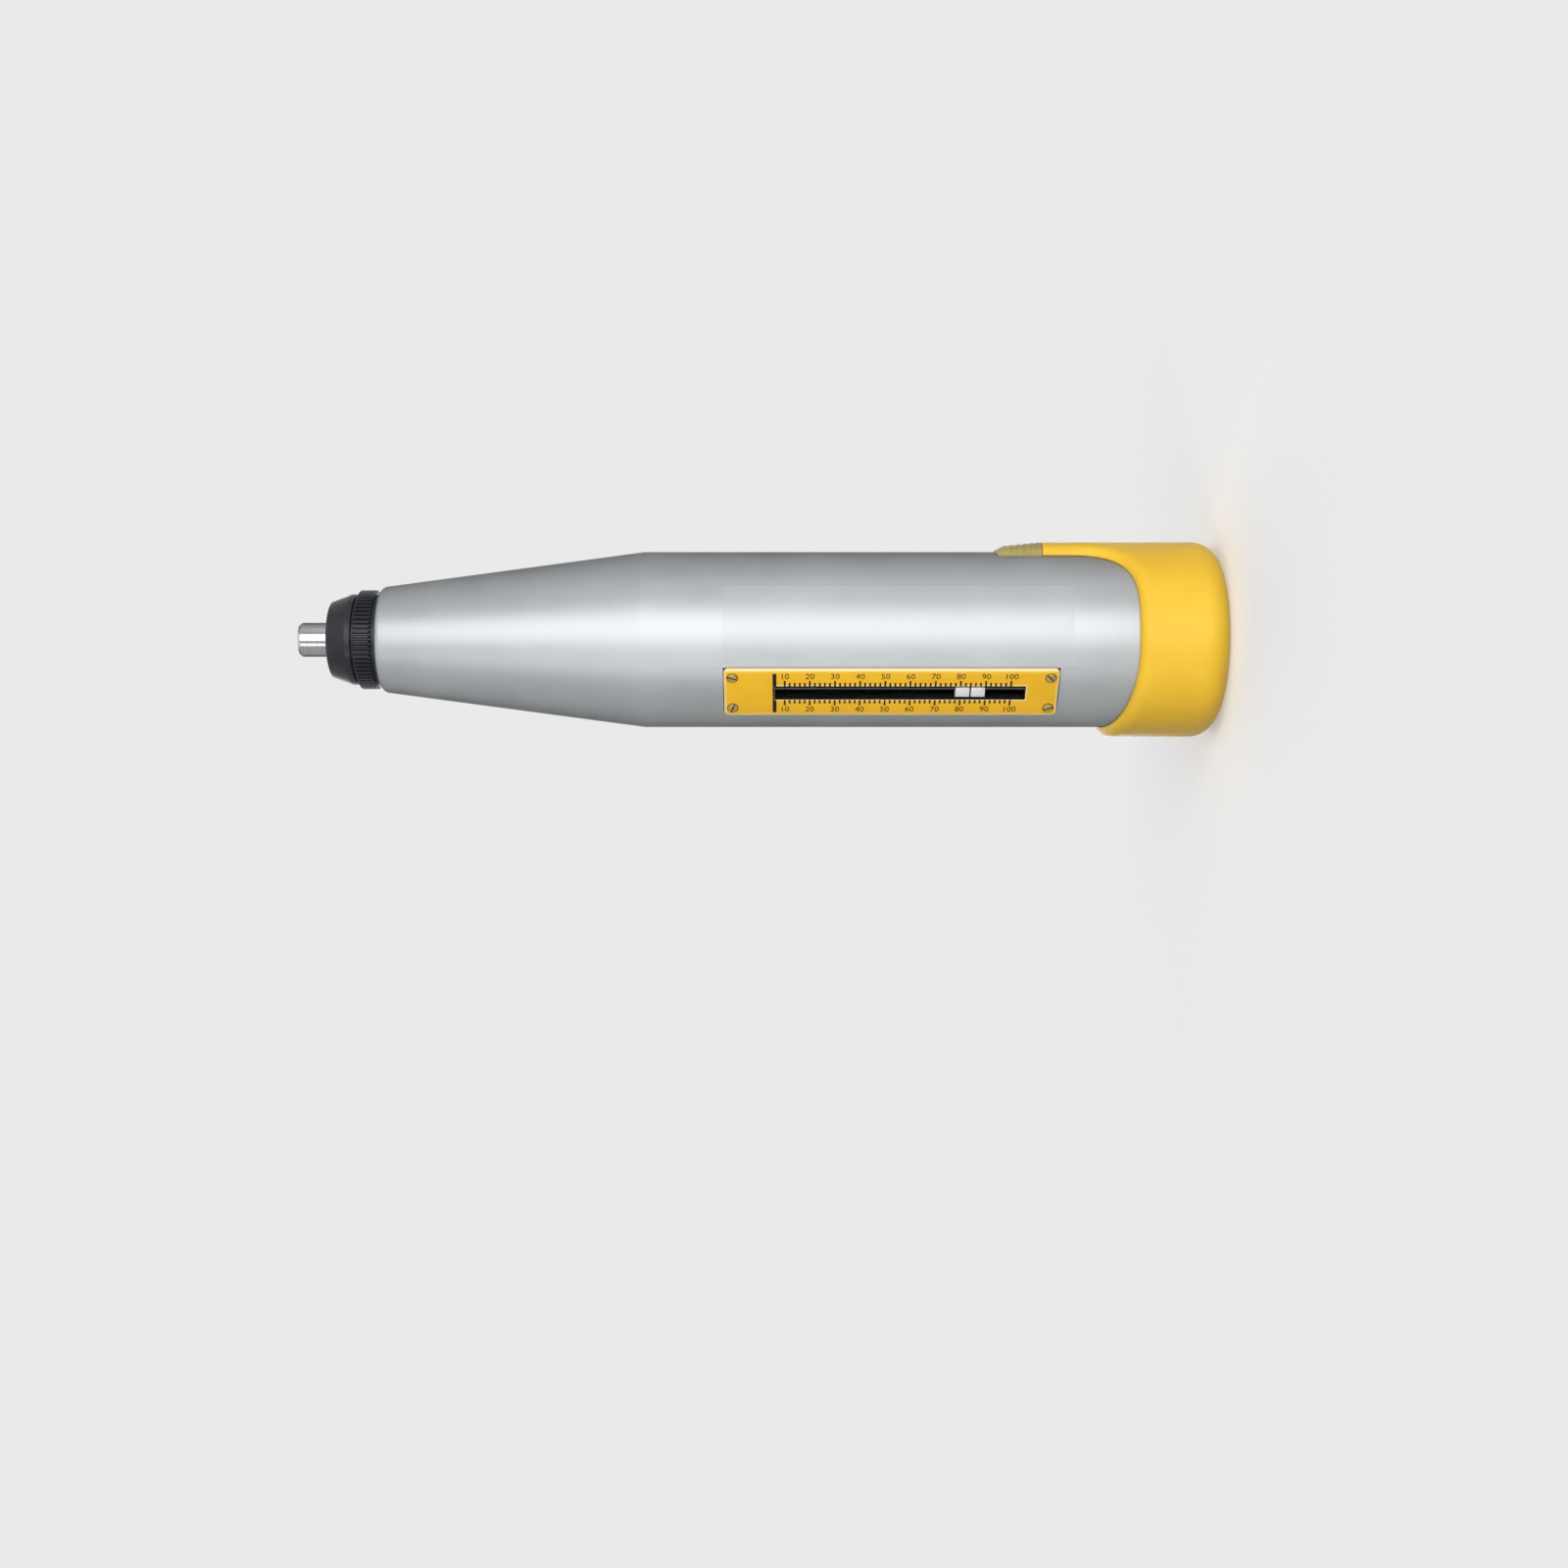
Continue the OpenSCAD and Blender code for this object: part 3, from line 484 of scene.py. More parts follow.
def noise(tree, scale, stretch=(1, 1, 1), detail=4.0):
    """Noise in the part's own metres, stretched along its axes."""
    place = tree.nodes.new("ShaderNodeTexCoord")
    mapping = tree.nodes.new("ShaderNodeMapping")
    mapping.inputs["Scale"].default_value = stretch
    texture = tree.nodes.new("ShaderNodeTexNoise")
    texture.inputs["Scale"].default_value = scale
    texture.inputs["Detail"].default_value = detail
    tree.links.new(place.outputs["Object"], mapping.inputs["Vector"])
    tree.links.new(mapping.outputs["Vector"], texture.inputs["Vector"])
    return texture.outputs["Fac"]


def ranged(tree, value, low, high, to_low, to_high):
    """A value mapped from one range to another."""
    node = tree.nodes.new("ShaderNodeMapRange")
    tree.links.new(value, node.inputs["Value"])
    limits = {"From Min": low, "From Max": high, "To Min": to_low, "To Max": to_high}
    for socket, number in limits.items():
        node.inputs[socket].default_value = number
    return node.outputs["Result"]


def spread(tree, cloud, low=0, high=1):
    """A noise spread from low to high."""
    return ranged(tree, cloud, *NOISE_SPAN, low, high)


def mixed(tree, factor, first, second):
    """A colour between two, each a colour or a socket."""
    node = tree.nodes.new("ShaderNodeMix")
    node.data_type = "RGBA"
    tree.links.new(factor, node.inputs["Factor"])
    for place, colour in ((MIX_FIRST, first), (MIX_SECOND, second)):
        if isinstance(colour, tuple):
            node.inputs[place].default_value = (*colour, 1)
        else:
            tree.links.new(colour, node.inputs[place])
    return node.outputs[MIX_RESULT]


def combined(tree, operation, first, second):
    """Two values, each a number or a socket, put together by a Math node."""
    node = tree.nodes.new("ShaderNodeMath")
    node.operation = operation
    for socket, value in zip(node.inputs, (first, second)):
        if isinstance(value, (int, float)):
            socket.default_value = value
        else:
            tree.links.new(value, socket)
    return node.outputs[0]


def bump(tree, shader, height, strength, distance):
    """A bump on the shader from a height."""
    node = tree.nodes.new("ShaderNodeBump")
    node.inputs["Strength"].default_value = strength
    node.inputs["Distance"].default_value = distance
    tree.links.new(height, node.inputs["Height"])
    tree.links.new(node.outputs["Normal"], shader.inputs["Normal"])


def textured(name, dark, light, rough_low, rough_high, scale, stretch=(1, 1, 1), metallic=0.0,
             bump_scale=2500, bump_strength=0.1, bump_distance=0.02 * MM, **sockets):
    """A material whose colour and roughness follow one noise, and its bump a finer one."""
    material, tree, shader = start_material(name, light, rough_low, metallic, **sockets)
    cloud = noise(tree, scale, stretch)
    colour = mixed(tree, spread(tree, cloud), dark, light)
    tree.links.new(colour, shader.inputs["Base Color"])
    tree.links.new(spread(tree, cloud, rough_low, rough_high), shader.inputs["Roughness"])
    fine = noise(tree, bump_scale, stretch, FINE_DETAIL)
    bump(tree, shader, fine, bump_strength, bump_distance)
    return material


def make_materials():
    """Every finish, by the name of its slot or use."""
    made = {}
    made["silver"] = textured(
        "silver_satin", (0.355, 0.369, 0.377), (0.395, 0.409, 0.417), 0.43, 0.49, 45, metallic=0.8,
        bump_scale=5200, bump_strength=0.05, bump_distance=0.01 * MM, Specular_IOR_Level=0.0,
        Specular_Tint=DARK_EDGE)
    # Near-black painted shade for the faces inside slots, seats and recesses
    made["bore"] = textured(
        "dark_bore", (0.004, 0.004, 0.004), (0.009, 0.009, 0.009), 0.5, 0.65, 300,
        Specular_IOR_Level=0.2)
    made["black"] = textured(
        "black_satin", (0.012, 0.014, 0.018), (0.018, 0.020, 0.025), 0.30, 0.38, 180,
        bump_scale=4200, bump_strength=0.10, bump_distance=0.02 * MM, Specular_IOR_Level=0.25)
    made["yellow"] = textured(
        "yellow_moulded", (0.85, 0.51, 0.034), (0.90, 0.56, 0.044), 0.38, 0.46, 60,
        bump_scale=1800, bump_strength=0.05, bump_distance=0.02 * MM, Specular_IOR_Level=0.22)
    made["pad"] = textured(
        "yellow_grip", (0.30, 0.24, 0.07), (0.38, 0.31, 0.09), 0.5, 0.62, 250,
        bump_scale=2600, bump_strength=0.15, bump_distance=0.03 * MM)
    made["polished"] = textured(
        "polished_steel", (0.32, 0.32, 0.325), (0.38, 0.38, 0.38), 0.16, 0.175, 1500,
        stretch=DRAWN, metallic=1.0, bump_scale=4000, bump_strength=0.01,
        bump_distance=0.001 * MM, Specular_Tint=DARK_EDGE)
    # Near-black rod: its dark base is painted shade for the slot it lies in, and only the lamps
    # give it a thin highlight
    made["dark_rod"] = textured(
        "rod_painted_shade", (0.03, 0.03, 0.032), (0.05, 0.05, 0.052), 0.2, 0.26, 900, metallic=1.0)
    made["steel"] = textured(
        "turned_steel", (0.42, 0.42, 0.42), (0.58, 0.58, 0.57), 0.25, 0.4, 400,
        stretch=TURNED, metallic=1.0, bump_scale=1500, bump_strength=0.1, bump_distance=0.01 * MM)
    made["spring"] = textured(
        "spring_wire", (0.22, 0.22, 0.23), (0.36, 0.36, 0.37), 0.3, 0.45, 700, metallic=1.0)
    made["aluminium"] = textured(
        "turned_aluminium", (0.60, 0.60, 0.60), (0.74, 0.74, 0.74), 0.3, 0.42, 400,
        stretch=TURNED, metallic=1.0)
    made["screw"] = textured(
        "yellow_zinc", (0.36, 0.25, 0.07), (0.50, 0.37, 0.12), 0.35, 0.5, 500, metallic=0.7)
    made["brass"] = textured(
        "milled_brass", (0.55, 0.38, 0.14), (0.70, 0.52, 0.22), 0.28, 0.4, 500, metallic=1.0)
    made["felt"] = textured(
        "wool_felt", (0.42, 0.39, 0.33), (0.62, 0.58, 0.50), 0.9, 1.0, 900,
        bump_scale=3000, bump_strength=0.8, bump_distance=0.15 * MM, Sheen_Weight=0.4)
    made["white"] = textured(
        "rider_white", (0.74, 0.73, 0.70), (0.84, 0.84, 0.82), 0.4, 0.55, 400)
    # Black print ink, also used for the painted shadow rings round the screw heads
    made["ink"] = textured(
        "black_ink", (0.010, 0.007, 0.005), (0.02, 0.015, 0.011), 0.5, 0.65, 900,
        Specular_IOR_Level=0.15)
    made["plate"] = make_plate_material()
    made["film"] = textured(
        "clear_film", (0.84, 0.85, 0.86), (0.92, 0.93, 0.94), 0.22, 0.3, 90,
        bump_scale=160, bump_strength=0.02, bump_distance=0.05 * MM, Alpha=0.05)
    made["film_rim"] = textured(
        "film_rim", (0.70, 0.72, 0.73), (0.86, 0.87, 0.88), 0.3, 0.5, 300, Alpha=0.5)
    return made


def make_plate_material():
    """Yellow printed plate with a painted highlight on its rounded rim and a painted highlight
    round its slot.
    """
    material, tree, shader = start_material(
        "yellow_plate", PLATE_BASE, roughness=0.3, Specular_IOR_Level=0.35)
    place = tree.nodes.new("ShaderNodeTexCoord")
    normal, spot = (tree.nodes.new("ShaderNodeSeparateXYZ") for _ in range(2))
    tree.links.new(place.outputs["Normal"], normal.inputs["Vector"])
    tree.links.new(place.outputs["Object"], spot.inputs["Vector"])
    across = combined(tree, "ABSOLUTE", spot.outputs["X"], 0)

    def along(low, high):
        offset = combined(tree, "SUBTRACT", spot.outputs["Z"], (low + high) / 2)
        return combined(tree, "ABSOLUTE", offset, 0)

    long_half = (plate_high.z - plate_low.z) / 2
    slot_long = (SLOT_END_Z - SLOT_Z) / 2 + SLOT_HIGHLIGHT_BORDER
    slot_wide = SLOT_HALF + SLOT_HIGHLIGHT_BORDER
    plate_along = along(plate_low.z, plate_high.z)
    slot_along = along(SLOT_Z, SLOT_END_Z)
    slot_highlight = combined(
        tree, "MINIMUM", ranged(tree, across, slot_wide - SLOT_HIGHLIGHT_SOFT, slot_wide, 1, 0),
        ranged(tree, slot_along, slot_long - SLOT_HIGHLIGHT_SOFT, slot_long, 1, 0))
    # Painted highlight: pale on the rounded rim by its normal, along the plate's edges and round
    # the slot
    painted_highlight = ranged(tree, normal.outputs["Y"], *RIM_HIGHLIGHT_NORMAL, 0, 1)
    for rim in (ranged(tree, across, plate_high.x - PLATE_HIGHLIGHT_BORDER, plate_high.x, 0, 1),
                ranged(tree, plate_along, long_half - PLATE_HIGHLIGHT_BORDER, long_half, 0, 1), slot_highlight):
        painted_highlight = combined(tree, "MAXIMUM", painted_highlight, rim)
    cloud = spread(tree, noise(tree, scale=120))
    face = mixed(tree, cloud, PLATE_DARK, PLATE_LIGHT)
    tree.links.new(mixed(tree, painted_highlight, face, PLATE_HIGHLIGHT), shader.inputs["Base Color"])
    tree.links.new(ranged(tree, cloud, 0, 1, *PLATE_ROUGH), shader.inputs["Roughness"])
    fine = noise(tree, scale=2200, detail=FINE_DETAIL)
    bump(tree, shader, fine, strength=0.06, distance=0.02 * MM)
    return material


# Barrel and nose

def make_barrel():
    """Silver barrel and cone, with the scale's seat and slot and the button's pocket cut in it."""
    cone_in_r = NOSE_R + (NOSE_Z - STEP_Z) * CONE_SLOPE - CONE_WALL
    inner_cone_z = SHOULDER_Z - (CONE_WALL - TUBE_WALL) / CONE_SLOPE
    outline = rounded([
        (BORE_R, REAR_Z, 0),
        (TUBE_R, REAR_Z, FINE_EDGE),
        (TUBE_R, plate_low.z - ROOM, 0),
        (TUBE_R, plate_high.z + ROOM, 0),
        (TUBE_R, SHOULDER_Z, SHOULDER_ROUND),
        (NOSE_R, NOSE_Z, NOSE_ROUND),
        (SPIGOT_R, NOSE_Z, 0),
        (SPIGOT_R, SPIGOT_Z, FINE_EDGE),
        (FRONT_BORE_R, SPIGOT_Z, 0),
        (FRONT_BORE_R, STEP_Z, 0),
        (cone_in_r, STEP_Z, 0),
        (BORE_R, inner_cone_z, 0),
    ])
    mesh = make_mesh("barrel", lathe(outline), [finish["silver"]], FINE_SHARP)
    outward = TO_TONGUE @ Z_TO_X
    half = TONGUE_HALF + ROOM
    heel = HEEL_HALF + ROOM
    past = TUBE_R + CUT_PAST
    inside = BORE_R - CUT_PAST
    seat = box((-TUBE_R, -past, plate_low.z - ROOM), (TUBE_R, -PLATE_SEAT, plate_high.z + ROOM))
    slot = box((-CASING_SLOT_HALF, -past, SLOT_Z - CASING_SLOT_PAST),
               (CASING_SLOT_HALF, -inside, SLOT_END_Z + CASING_SLOT_PAST))
    pad_end = PAD_Z + PAD_LEN + ROOM
    heel_end = HEEL_Z - ROOM
    pocket = prism(mirrored([(-pad_end, half), (-cap_high.z, half), (-cap_high.z, heel),
                             (-heel_end, heel)]), POCKET_BOTTOM, past)
    pin_hole = moved(cylinder(LOCK_PIN_R, inside, past, HOLE_STEPS),
                     Matrix.Translation((-LOCK_PIN_Z, 0, 0)))
    # The seat and the slot take the near-black painted shade; the pocket and the pin hole stay
    # silver
    for part, material in ((seat, "bore"), (slot, "bore"), (moved(pocket, outward), "silver"),
                           (moved(pin_hole, outward), "silver")):
        mesh = cut(mesh, make_mesh("barrel_cut", part, [finish[material]]), FINE_SHARP)
    add_piece("barrel", mesh, "barrel", ["casing"])


def knurled(r, angle):
    """Radius of the front cap, with rounded ribs on the knurled ring."""
    if r <= KNURL_ROOT_R:
        return r
    wave = 0.5 + 0.5 * math.cos(KNURL_RIBS * angle)
    rib = min(1, max(0, (wave - KNURL_FOOT) / KNURL_FLANK))
    rib = rib * rib * (3 - 2 * rib)
    return KNURL_ROOT_R + (r - KNURL_ROOT_R) * rib


def make_front_cap():
    """Black screw cap: knurled ring, groove, bead and a short cone with a hole for the plunger."""
    outline = rounded([
        (SPIGOT_R + THREAD_ROOM, NOSE_Z, 0),
        (NECK_R, NOSE_Z, 0),
        (NECK_R, KNURL_Z, 0),
        (KNURL_ROOT_R, KNURL_Z, 0),
        (KNURL_R, KNURL_Z + KNURL_CHAMFER, FINE_EDGE / 2),
        (KNURL_R, KNURL_END_Z - KNURL_CHAMFER, FINE_EDGE / 2),
        (KNURL_ROOT_R, KNURL_END_Z, 0),
        (GROOVE_R, KNURL_END_Z, 0),
        (GROOVE_R, BEAD_Z, 0),
        (BEAD_R, BEAD_Z, BEAD_EDGE),
        (BEAD_R, BEAD_END_Z, BEAD_EDGE),
        (CAP_TIP_R, nose_high.z, CAP_TIP_EDGE),
        (NOSE_HOLE_R, nose_high.z, FINE_EDGE),
        (NOSE_HOLE_R, FELT_FRONT_Z, 0),
        (FELT_BORE_R, FELT_FRONT_Z, 0),
        (FELT_BORE_R, SLEEVE_FRONT_Z, 0),
        (SPIGOT_R + THREAD_ROOM, SLEEVE_FRONT_Z, 0),
    ])
    part = lathe(outline, KNURL_RIBS * KNURL_STEPS, knurled)
    mesh = make_mesh("nose_cap", part, [finish["black"]], COARSE_SHARP)
    add_piece("nose_cap", mesh, "barrel", ["front_cap"])


def make_plunger():
    """Polished plunger with a rounded tip and a blind bore behind."""
    edge_drop = TIP_SPHERE_R - math.sqrt(TIP_SPHERE_R ** 2 - PLUNGER_R ** 2)
    tip = []
    for i in range(TIP_STEPS, -1, -1):
        r = (PLUNGER_R - TIP_EDGE) * i / TIP_STEPS
        tip.append((r, plunger_high.z - TIP_SPHERE_R + math.sqrt(TIP_SPHERE_R ** 2 - r ** 2), 0))
    outline = rounded([
        (PLUNGER_BORE_R, plunger_low.z, 0),
        (PLUNGER_R, plunger_low.z, FINE_EDGE),
        (PLUNGER_R, plunger_high.z - edge_drop - TIP_EDGE, TIP_EDGE),
        *tip,
        (0, PLUNGER_BORE_END_Z, 0),
        (PLUNGER_BORE_R, PLUNGER_BORE_END_Z, 0),
    ])
    part = lathe(outline, PLUNGER_STEPS)
    mesh = make_mesh("plunger_rod", part, [finish["polished"]], PLUNGER_SHARP)
    add_piece("plunger_rod", mesh, "plunger_train", ["plunger"])


# Rear cap and lock button

def soft_sine(s):
    """The sine of a turn with its crease at zero made soft."""
    soft = LOBE_SOFT_SHARE
    return (math.hypot(s, soft) - soft) / (math.hypot(1, soft) - soft)


def cap_front_edge(lobe_steps=36, scoop_steps=14, flare_steps=30, flank_steps=8):
    """The cap's front edge from the lobe's middle to the tongue's corner, as (turn, height)."""
    flare_turn = math.asin((TONGUE_HALF + FLARE_R) / CAP_IN_R)
    tongue_turn = math.asin(TONGUE_HALF / CAP_IN_R)
    edge = []
    for i in range(lobe_steps):
        turn = math.pi - QUARTER * i / lobe_steps
        edge.append((turn, LOBE_Z - (LOBE_Z - SCOOP_Z) * soft_sine(math.sin(turn))))
    for i in range(scoop_steps):
        edge.append((QUARTER - (QUARTER - flare_turn) * i / scoop_steps, SCOOP_Z))
    for i in range(flare_steps):
        angle = QUARTER * i / flare_steps
        turn = math.asin((TONGUE_HALF + FLARE_R * (1 - math.sin(angle))) / CAP_IN_R)
        edge.append((turn, SCOOP_Z + FLARE_R * (1 - math.cos(angle))))
    flank_z = SCOOP_Z + FLARE_R
    for i in range(flank_steps + 1):
        edge.append((tongue_turn, flank_z + (cap_high.z - flank_z) * i / flank_steps))
    return edge, flank_steps


def cap_columns(end_steps=6, lip_steps=12, side_steps=10, round_steps=12):
    """Columns of (turn, height, radius) over half of the cap, from its floor to its rear face."""
    edge, flank_steps = cap_front_edge()
    last = len(edge) - 1
    bend = last - flank_steps
    half_last = last + end_steps
    tongue_turn = edge[-1][0]
    columns = []
    for i in range(half_last + 1):
        left = (half_last - i) / end_steps
        if i < bend:
            rear = edge[i][0]
        elif i <= last:
            rear = tongue_turn * (1 - FAN_SHARE * (i - bend + 1) / (flank_steps + 1))
        else:
            rear = tongue_turn * (1 - FAN_SHARE) * left
        if i == 0:
            normal = (0, -1)
        elif i >= last:
            normal = (-1, 0)
        else:
            before, after = edge[i - 1], edge[i + 1]
            along = ((after[0] - before[0]) * CAP_IN_R, after[1] - before[1])
            size = math.hypot(*along)
            normal = (-along[1] / size, along[0] / size)

        def lip(inset):
            if i <= last:
                return edge[i][0] + normal[0] * inset / CAP_IN_R, edge[i][1] + normal[1] * inset
            return left * (tongue_turn - inset / CAP_IN_R), cap_high.z

        column = []
        inner_turn, inner_z = lip(0)
        for k in range(side_steps):
            share = k / side_steps
            column.append((rear + (inner_turn - rear) * share,
                           CAP_END + (inner_z - CAP_END) * share, CAP_IN_R))
        for k in range(lip_steps + 1):
            angle = QUARTER * k / lip_steps
            turn, height = lip(LIP_LEN * (1 - math.cos(angle)))
            column.append((turn, height, CAP_IN_R + CAP_WALL * math.sin(angle)))
        turn, height = column[-1][:2]
        for k in range(1, side_steps):
            share = k / side_steps
            column.append((turn + (rear - turn) * share,
                           height + (CAP_ROUND - height) * share, CAP_R))
        for k in range(round_steps + 1):
            angle = QUARTER * k / round_steps
            column.append((rear, CAP_ROUND * (1 - math.sin(angle)),
                           CAP_R - CAP_ROUND * (1 - math.cos(angle))))
        columns.append(column)
    return columns


def make_rear_cap():
    """Yellow cap: scooped sides, a lobe, a long tongue and a rolled front lip."""
    half = cap_columns()
    columns = half + [[(-t, z, r) for t, z, r in column] for column in half[-2:0:-1]]
    rows = len(half[0])
    sides = len(columns)
    verts = [(r * math.cos(t + TONGUE_TURN), r * math.sin(t + TONGUE_TURN), z)
             for column in columns for t, z, r in column]
    floor_middle, rear_middle = len(verts), len(verts) + 1
    verts += [(0, 0, CAP_END), (0, 0, 0)]
    faces = []
    for s in range(sides):
        a, b = s * rows, (s + 1) % sides * rows
        faces += [(a + k, b + k, b + k + 1, a + k + 1) for k in range(rows - 1)]
        faces.append((floor_middle, b, a))
        faces.append((rear_middle, a + rows - 1, b + rows - 1))
    mesh = make_mesh("cap_shell", (verts, faces), [finish["yellow"]], CAP_SHARP)
    add_piece("cap_shell", mesh, "barrel", ["rear_cap"])


def pad_top(y, along):
    """Height of the thumb pad over the axis, at a place across and along it."""
    side = max(0, abs(y) - (TONGUE_HALF - LIP_LEN)) / LIP_LEN
    rise = CAP_WALL * math.sqrt(max(0, 1 - side * side))
    section = math.sqrt((CAP_IN_R + rise) ** 2 - y * y)
    ramp_start = PAD_LEN - PAD_RAMP
    if along < ramp_start:
        profile = CAP_R - PAD_DROP * along / ramp_start
    else:
        fall = CAP_R - PAD_DROP - PAD_BOTTOM - PAD_RAMP_H
        profile = CAP_R - PAD_DROP - fall * (along - ramp_start) / PAD_RAMP
    top = (section + profile - math.hypot(section - profile, PAD_SOFT)) / 2
    groove = 0
    for i in range(PAD_GROOVES):
        off = (along - PAD_GROOVE_START - i * PAD_GROOVE_PITCH) / PAD_GROOVE_HALF
        if abs(off) < 1:
            groove = PAD_GROOVE_DEPTH * (0.5 + 0.5 * math.cos(math.pi * off))
    return top - groove


def make_lock_button():
    """Ribbed thumb pad with its heel under the tongue's end."""
    verts = []
    for i in range(PAD_STEPS_ALONG + 1):
        z = PAD_LEN * i / PAD_STEPS_ALONG
        for j in range(PAD_STEPS_ACROSS + 1):
            y = TONGUE_HALF * math.sin(QUARTER * (2 * j / PAD_STEPS_ACROSS - 1))
            verts.append((pad_top(y, z), y, PAD_Z + z))
    faces, rim = grid(PAD_STEPS_ALONG, PAD_STEPS_ACROSS)
    low = len(verts)
    verts += [(PAD_BOTTOM, *verts[a][1:]) for a in rim]
    for k, a in enumerate(rim):
        after = (k + 1) % len(rim)
        faces.append((a, rim[after], low + after, low + k))
    faces.append(tuple(range(low, low + len(rim))))
    heel = box((PAD_BOTTOM, -HEEL_HALF, HEEL_Z), (HEEL_TOP, HEEL_HALF, PAD_Z + PAD_GROOVE_START))
    cup = moved(cylinder(BUTTON_CUP_R, 0, BUTTON_CUP_TOP, HOLE_STEPS),
                Matrix.Translation((0, 0, PAD_MIDDLE_Z)) @ Z_TO_X)
    mesh = make_mesh("thumb_pad", (verts, faces), [finish["pad"]], PAD_SHARP)
    mesh = cut(mesh, make_mesh("heel", heel, [finish["pad"]]), PAD_SHARP, "UNION")
    mesh = cut(mesh, make_mesh("cup_cut", cup, [finish["pad"]]), PAD_SHARP)
    mesh.transform(TO_TONGUE)
    add_piece("thumb_pad", mesh, "button", ["lock_button"])


# Scale

# From the scale's own drawing, x along its reading and y up, to the face of the plate
ON_PLATE = Matrix.Translation((0, -PLATE_FACE, 0)) @ Matrix((
    (0, 1, 0, 0),
    (0, 0, -1, 0),
    (-1, 0, 0, 0),
    (0, 0, 0, 1),
))


def reading_z(unit):
    """Height on the barrel of a reading."""
    return FULL_Z + (UNITS - unit) * UNIT


def make_scale_plate():
    """Yellow plate with a rounded rim and a slot."""
    long_half = (plate_high.z - plate_low.z) / 2
    middle = -(plate_high.z + plate_low.z) / 2
    outline = rounded([(middle + x * long_half, y * plate_high.x, PLATE_CORNER_R)
                       for x, y in CORNERS])
    thickness = PLATE_FACE - PLATE_SEAT
    mesh = filled_outline("scale_face", outline, thickness, PLATE_EDGE)
    mesh.materials.append(finish["plate"])
    mesh.transform(Matrix.Translation((0, 0, -thickness / 2)))
    mesh = cut(mesh, slot_cutter(thickness))
    mesh.transform(ON_PLATE)
    add_piece("scale_face", mesh, "barrel", ["scale_plate"])


def slot_cutter(thickness):
    """Cutter for the plate's slot: walls in a near-black painted shade, and at the face a chamfer
    in the plate's finish.
    """
    verts = []
    for depth, grow in ((-2 * thickness, 0), (-SLOT_EDGE, 0), (SLOT_EDGE, 2 * SLOT_EDGE)):
        for x, y in CORNERS:
            end = -SLOT_END_Z - grow if x < 0 else grow - SLOT_Z
            verts.append((end, y * (SLOT_HALF + grow), depth))
    sides = len(CORNERS)
    faces = [(3, 2, 1, 0), (8, 9, 10, 11)]
    for level in (0, sides):
        for i in range(sides):
            a, b = level + i, level + (i + 1) % sides
            faces.append((a, b, b + sides, a + sides))
    mesh = make_mesh("slot_cutter", (verts, faces), [finish["bore"], finish["plate"]])
    for face in mesh.polygons:
        face.material_index = int(face.center.z > -SLOT_EDGE)
    return mesh


def filled_outline(name, outline, thickness, edge):
    """A flat plate with rounded edges from a closed outline, as a mesh centred on its thickness."""
    curve = bpy.data.curves.new(name, "CURVE")
    curve.dimensions = "2D"
    curve.fill_mode = "BOTH"
    curve.extrude = thickness / 2 - edge
    curve.bevel_depth = edge
    curve.bevel_resolution = PLATE_EDGE_STEPS
    curve.offset = -edge
    spline = curve.splines.new("POLY")
    spline.points.add(len(outline) - 1)
    for point, (x, y) in zip(spline.points, outline):
        point.co = (x, y, 0, 1)
    spline.use_cyclic_u = True
    return curve_mesh(name, curve)


def curve_mesh(name, curve):
    """A curve or text as a mesh with clean, smooth normals."""
    holder = bpy.data.objects.new(name, curve)
    bpy.context.scene.collection.objects.link(holder)
    bpy.context.view_layer.update()
    graph = bpy.context.evaluated_depsgraph_get()
    mesh = bpy.data.meshes.new_from_object(holder.evaluated_get(graph))
    bpy.data.objects.remove(holder)
    work = bmesh.new()
    work.from_mesh(mesh)
    bmesh.ops.remove_doubles(work, verts=work.verts, dist=WELD)
    bmesh.ops.dissolve_limit(work, angle_limit=FLAT, verts=work.verts, edges=work.edges)
    for _ in range(DEGENERATE_PASSES):
        bmesh.ops.dissolve_degenerate(work, edges=work.edges, dist=WELD)
    work.to_mesh(mesh)
    work.free()
    mesh.name = name
    mesh.materials.clear()
    mesh.shade_smooth()
    mesh.set_sharp_from_angle(angle=math.radians(CURVE_SHARP))
    return mesh


def number_part(text, x, y):
    """A plain number as (vertices, faces) on the plate's drawing."""
    curve = bpy.data.curves.new("number", "FONT")
    curve.body = text
    curve.size = NUMBER_H * FONT_PER_HEIGHT
    curve.align_x = "CENTER"
    curve.align_y = "CENTER"
    curve.resolution_u = FONT_STEPS
    curve.extrude = INK / 2
    mesh = curve_mesh("number", curve)
    verts = [v.co + Vector((x, y, INK / 2)) for v in mesh.vertices]
    faces = [tuple(p.vertices) for p in mesh.polygons]
    bpy.data.meshes.remove(mesh)
    return verts, faces


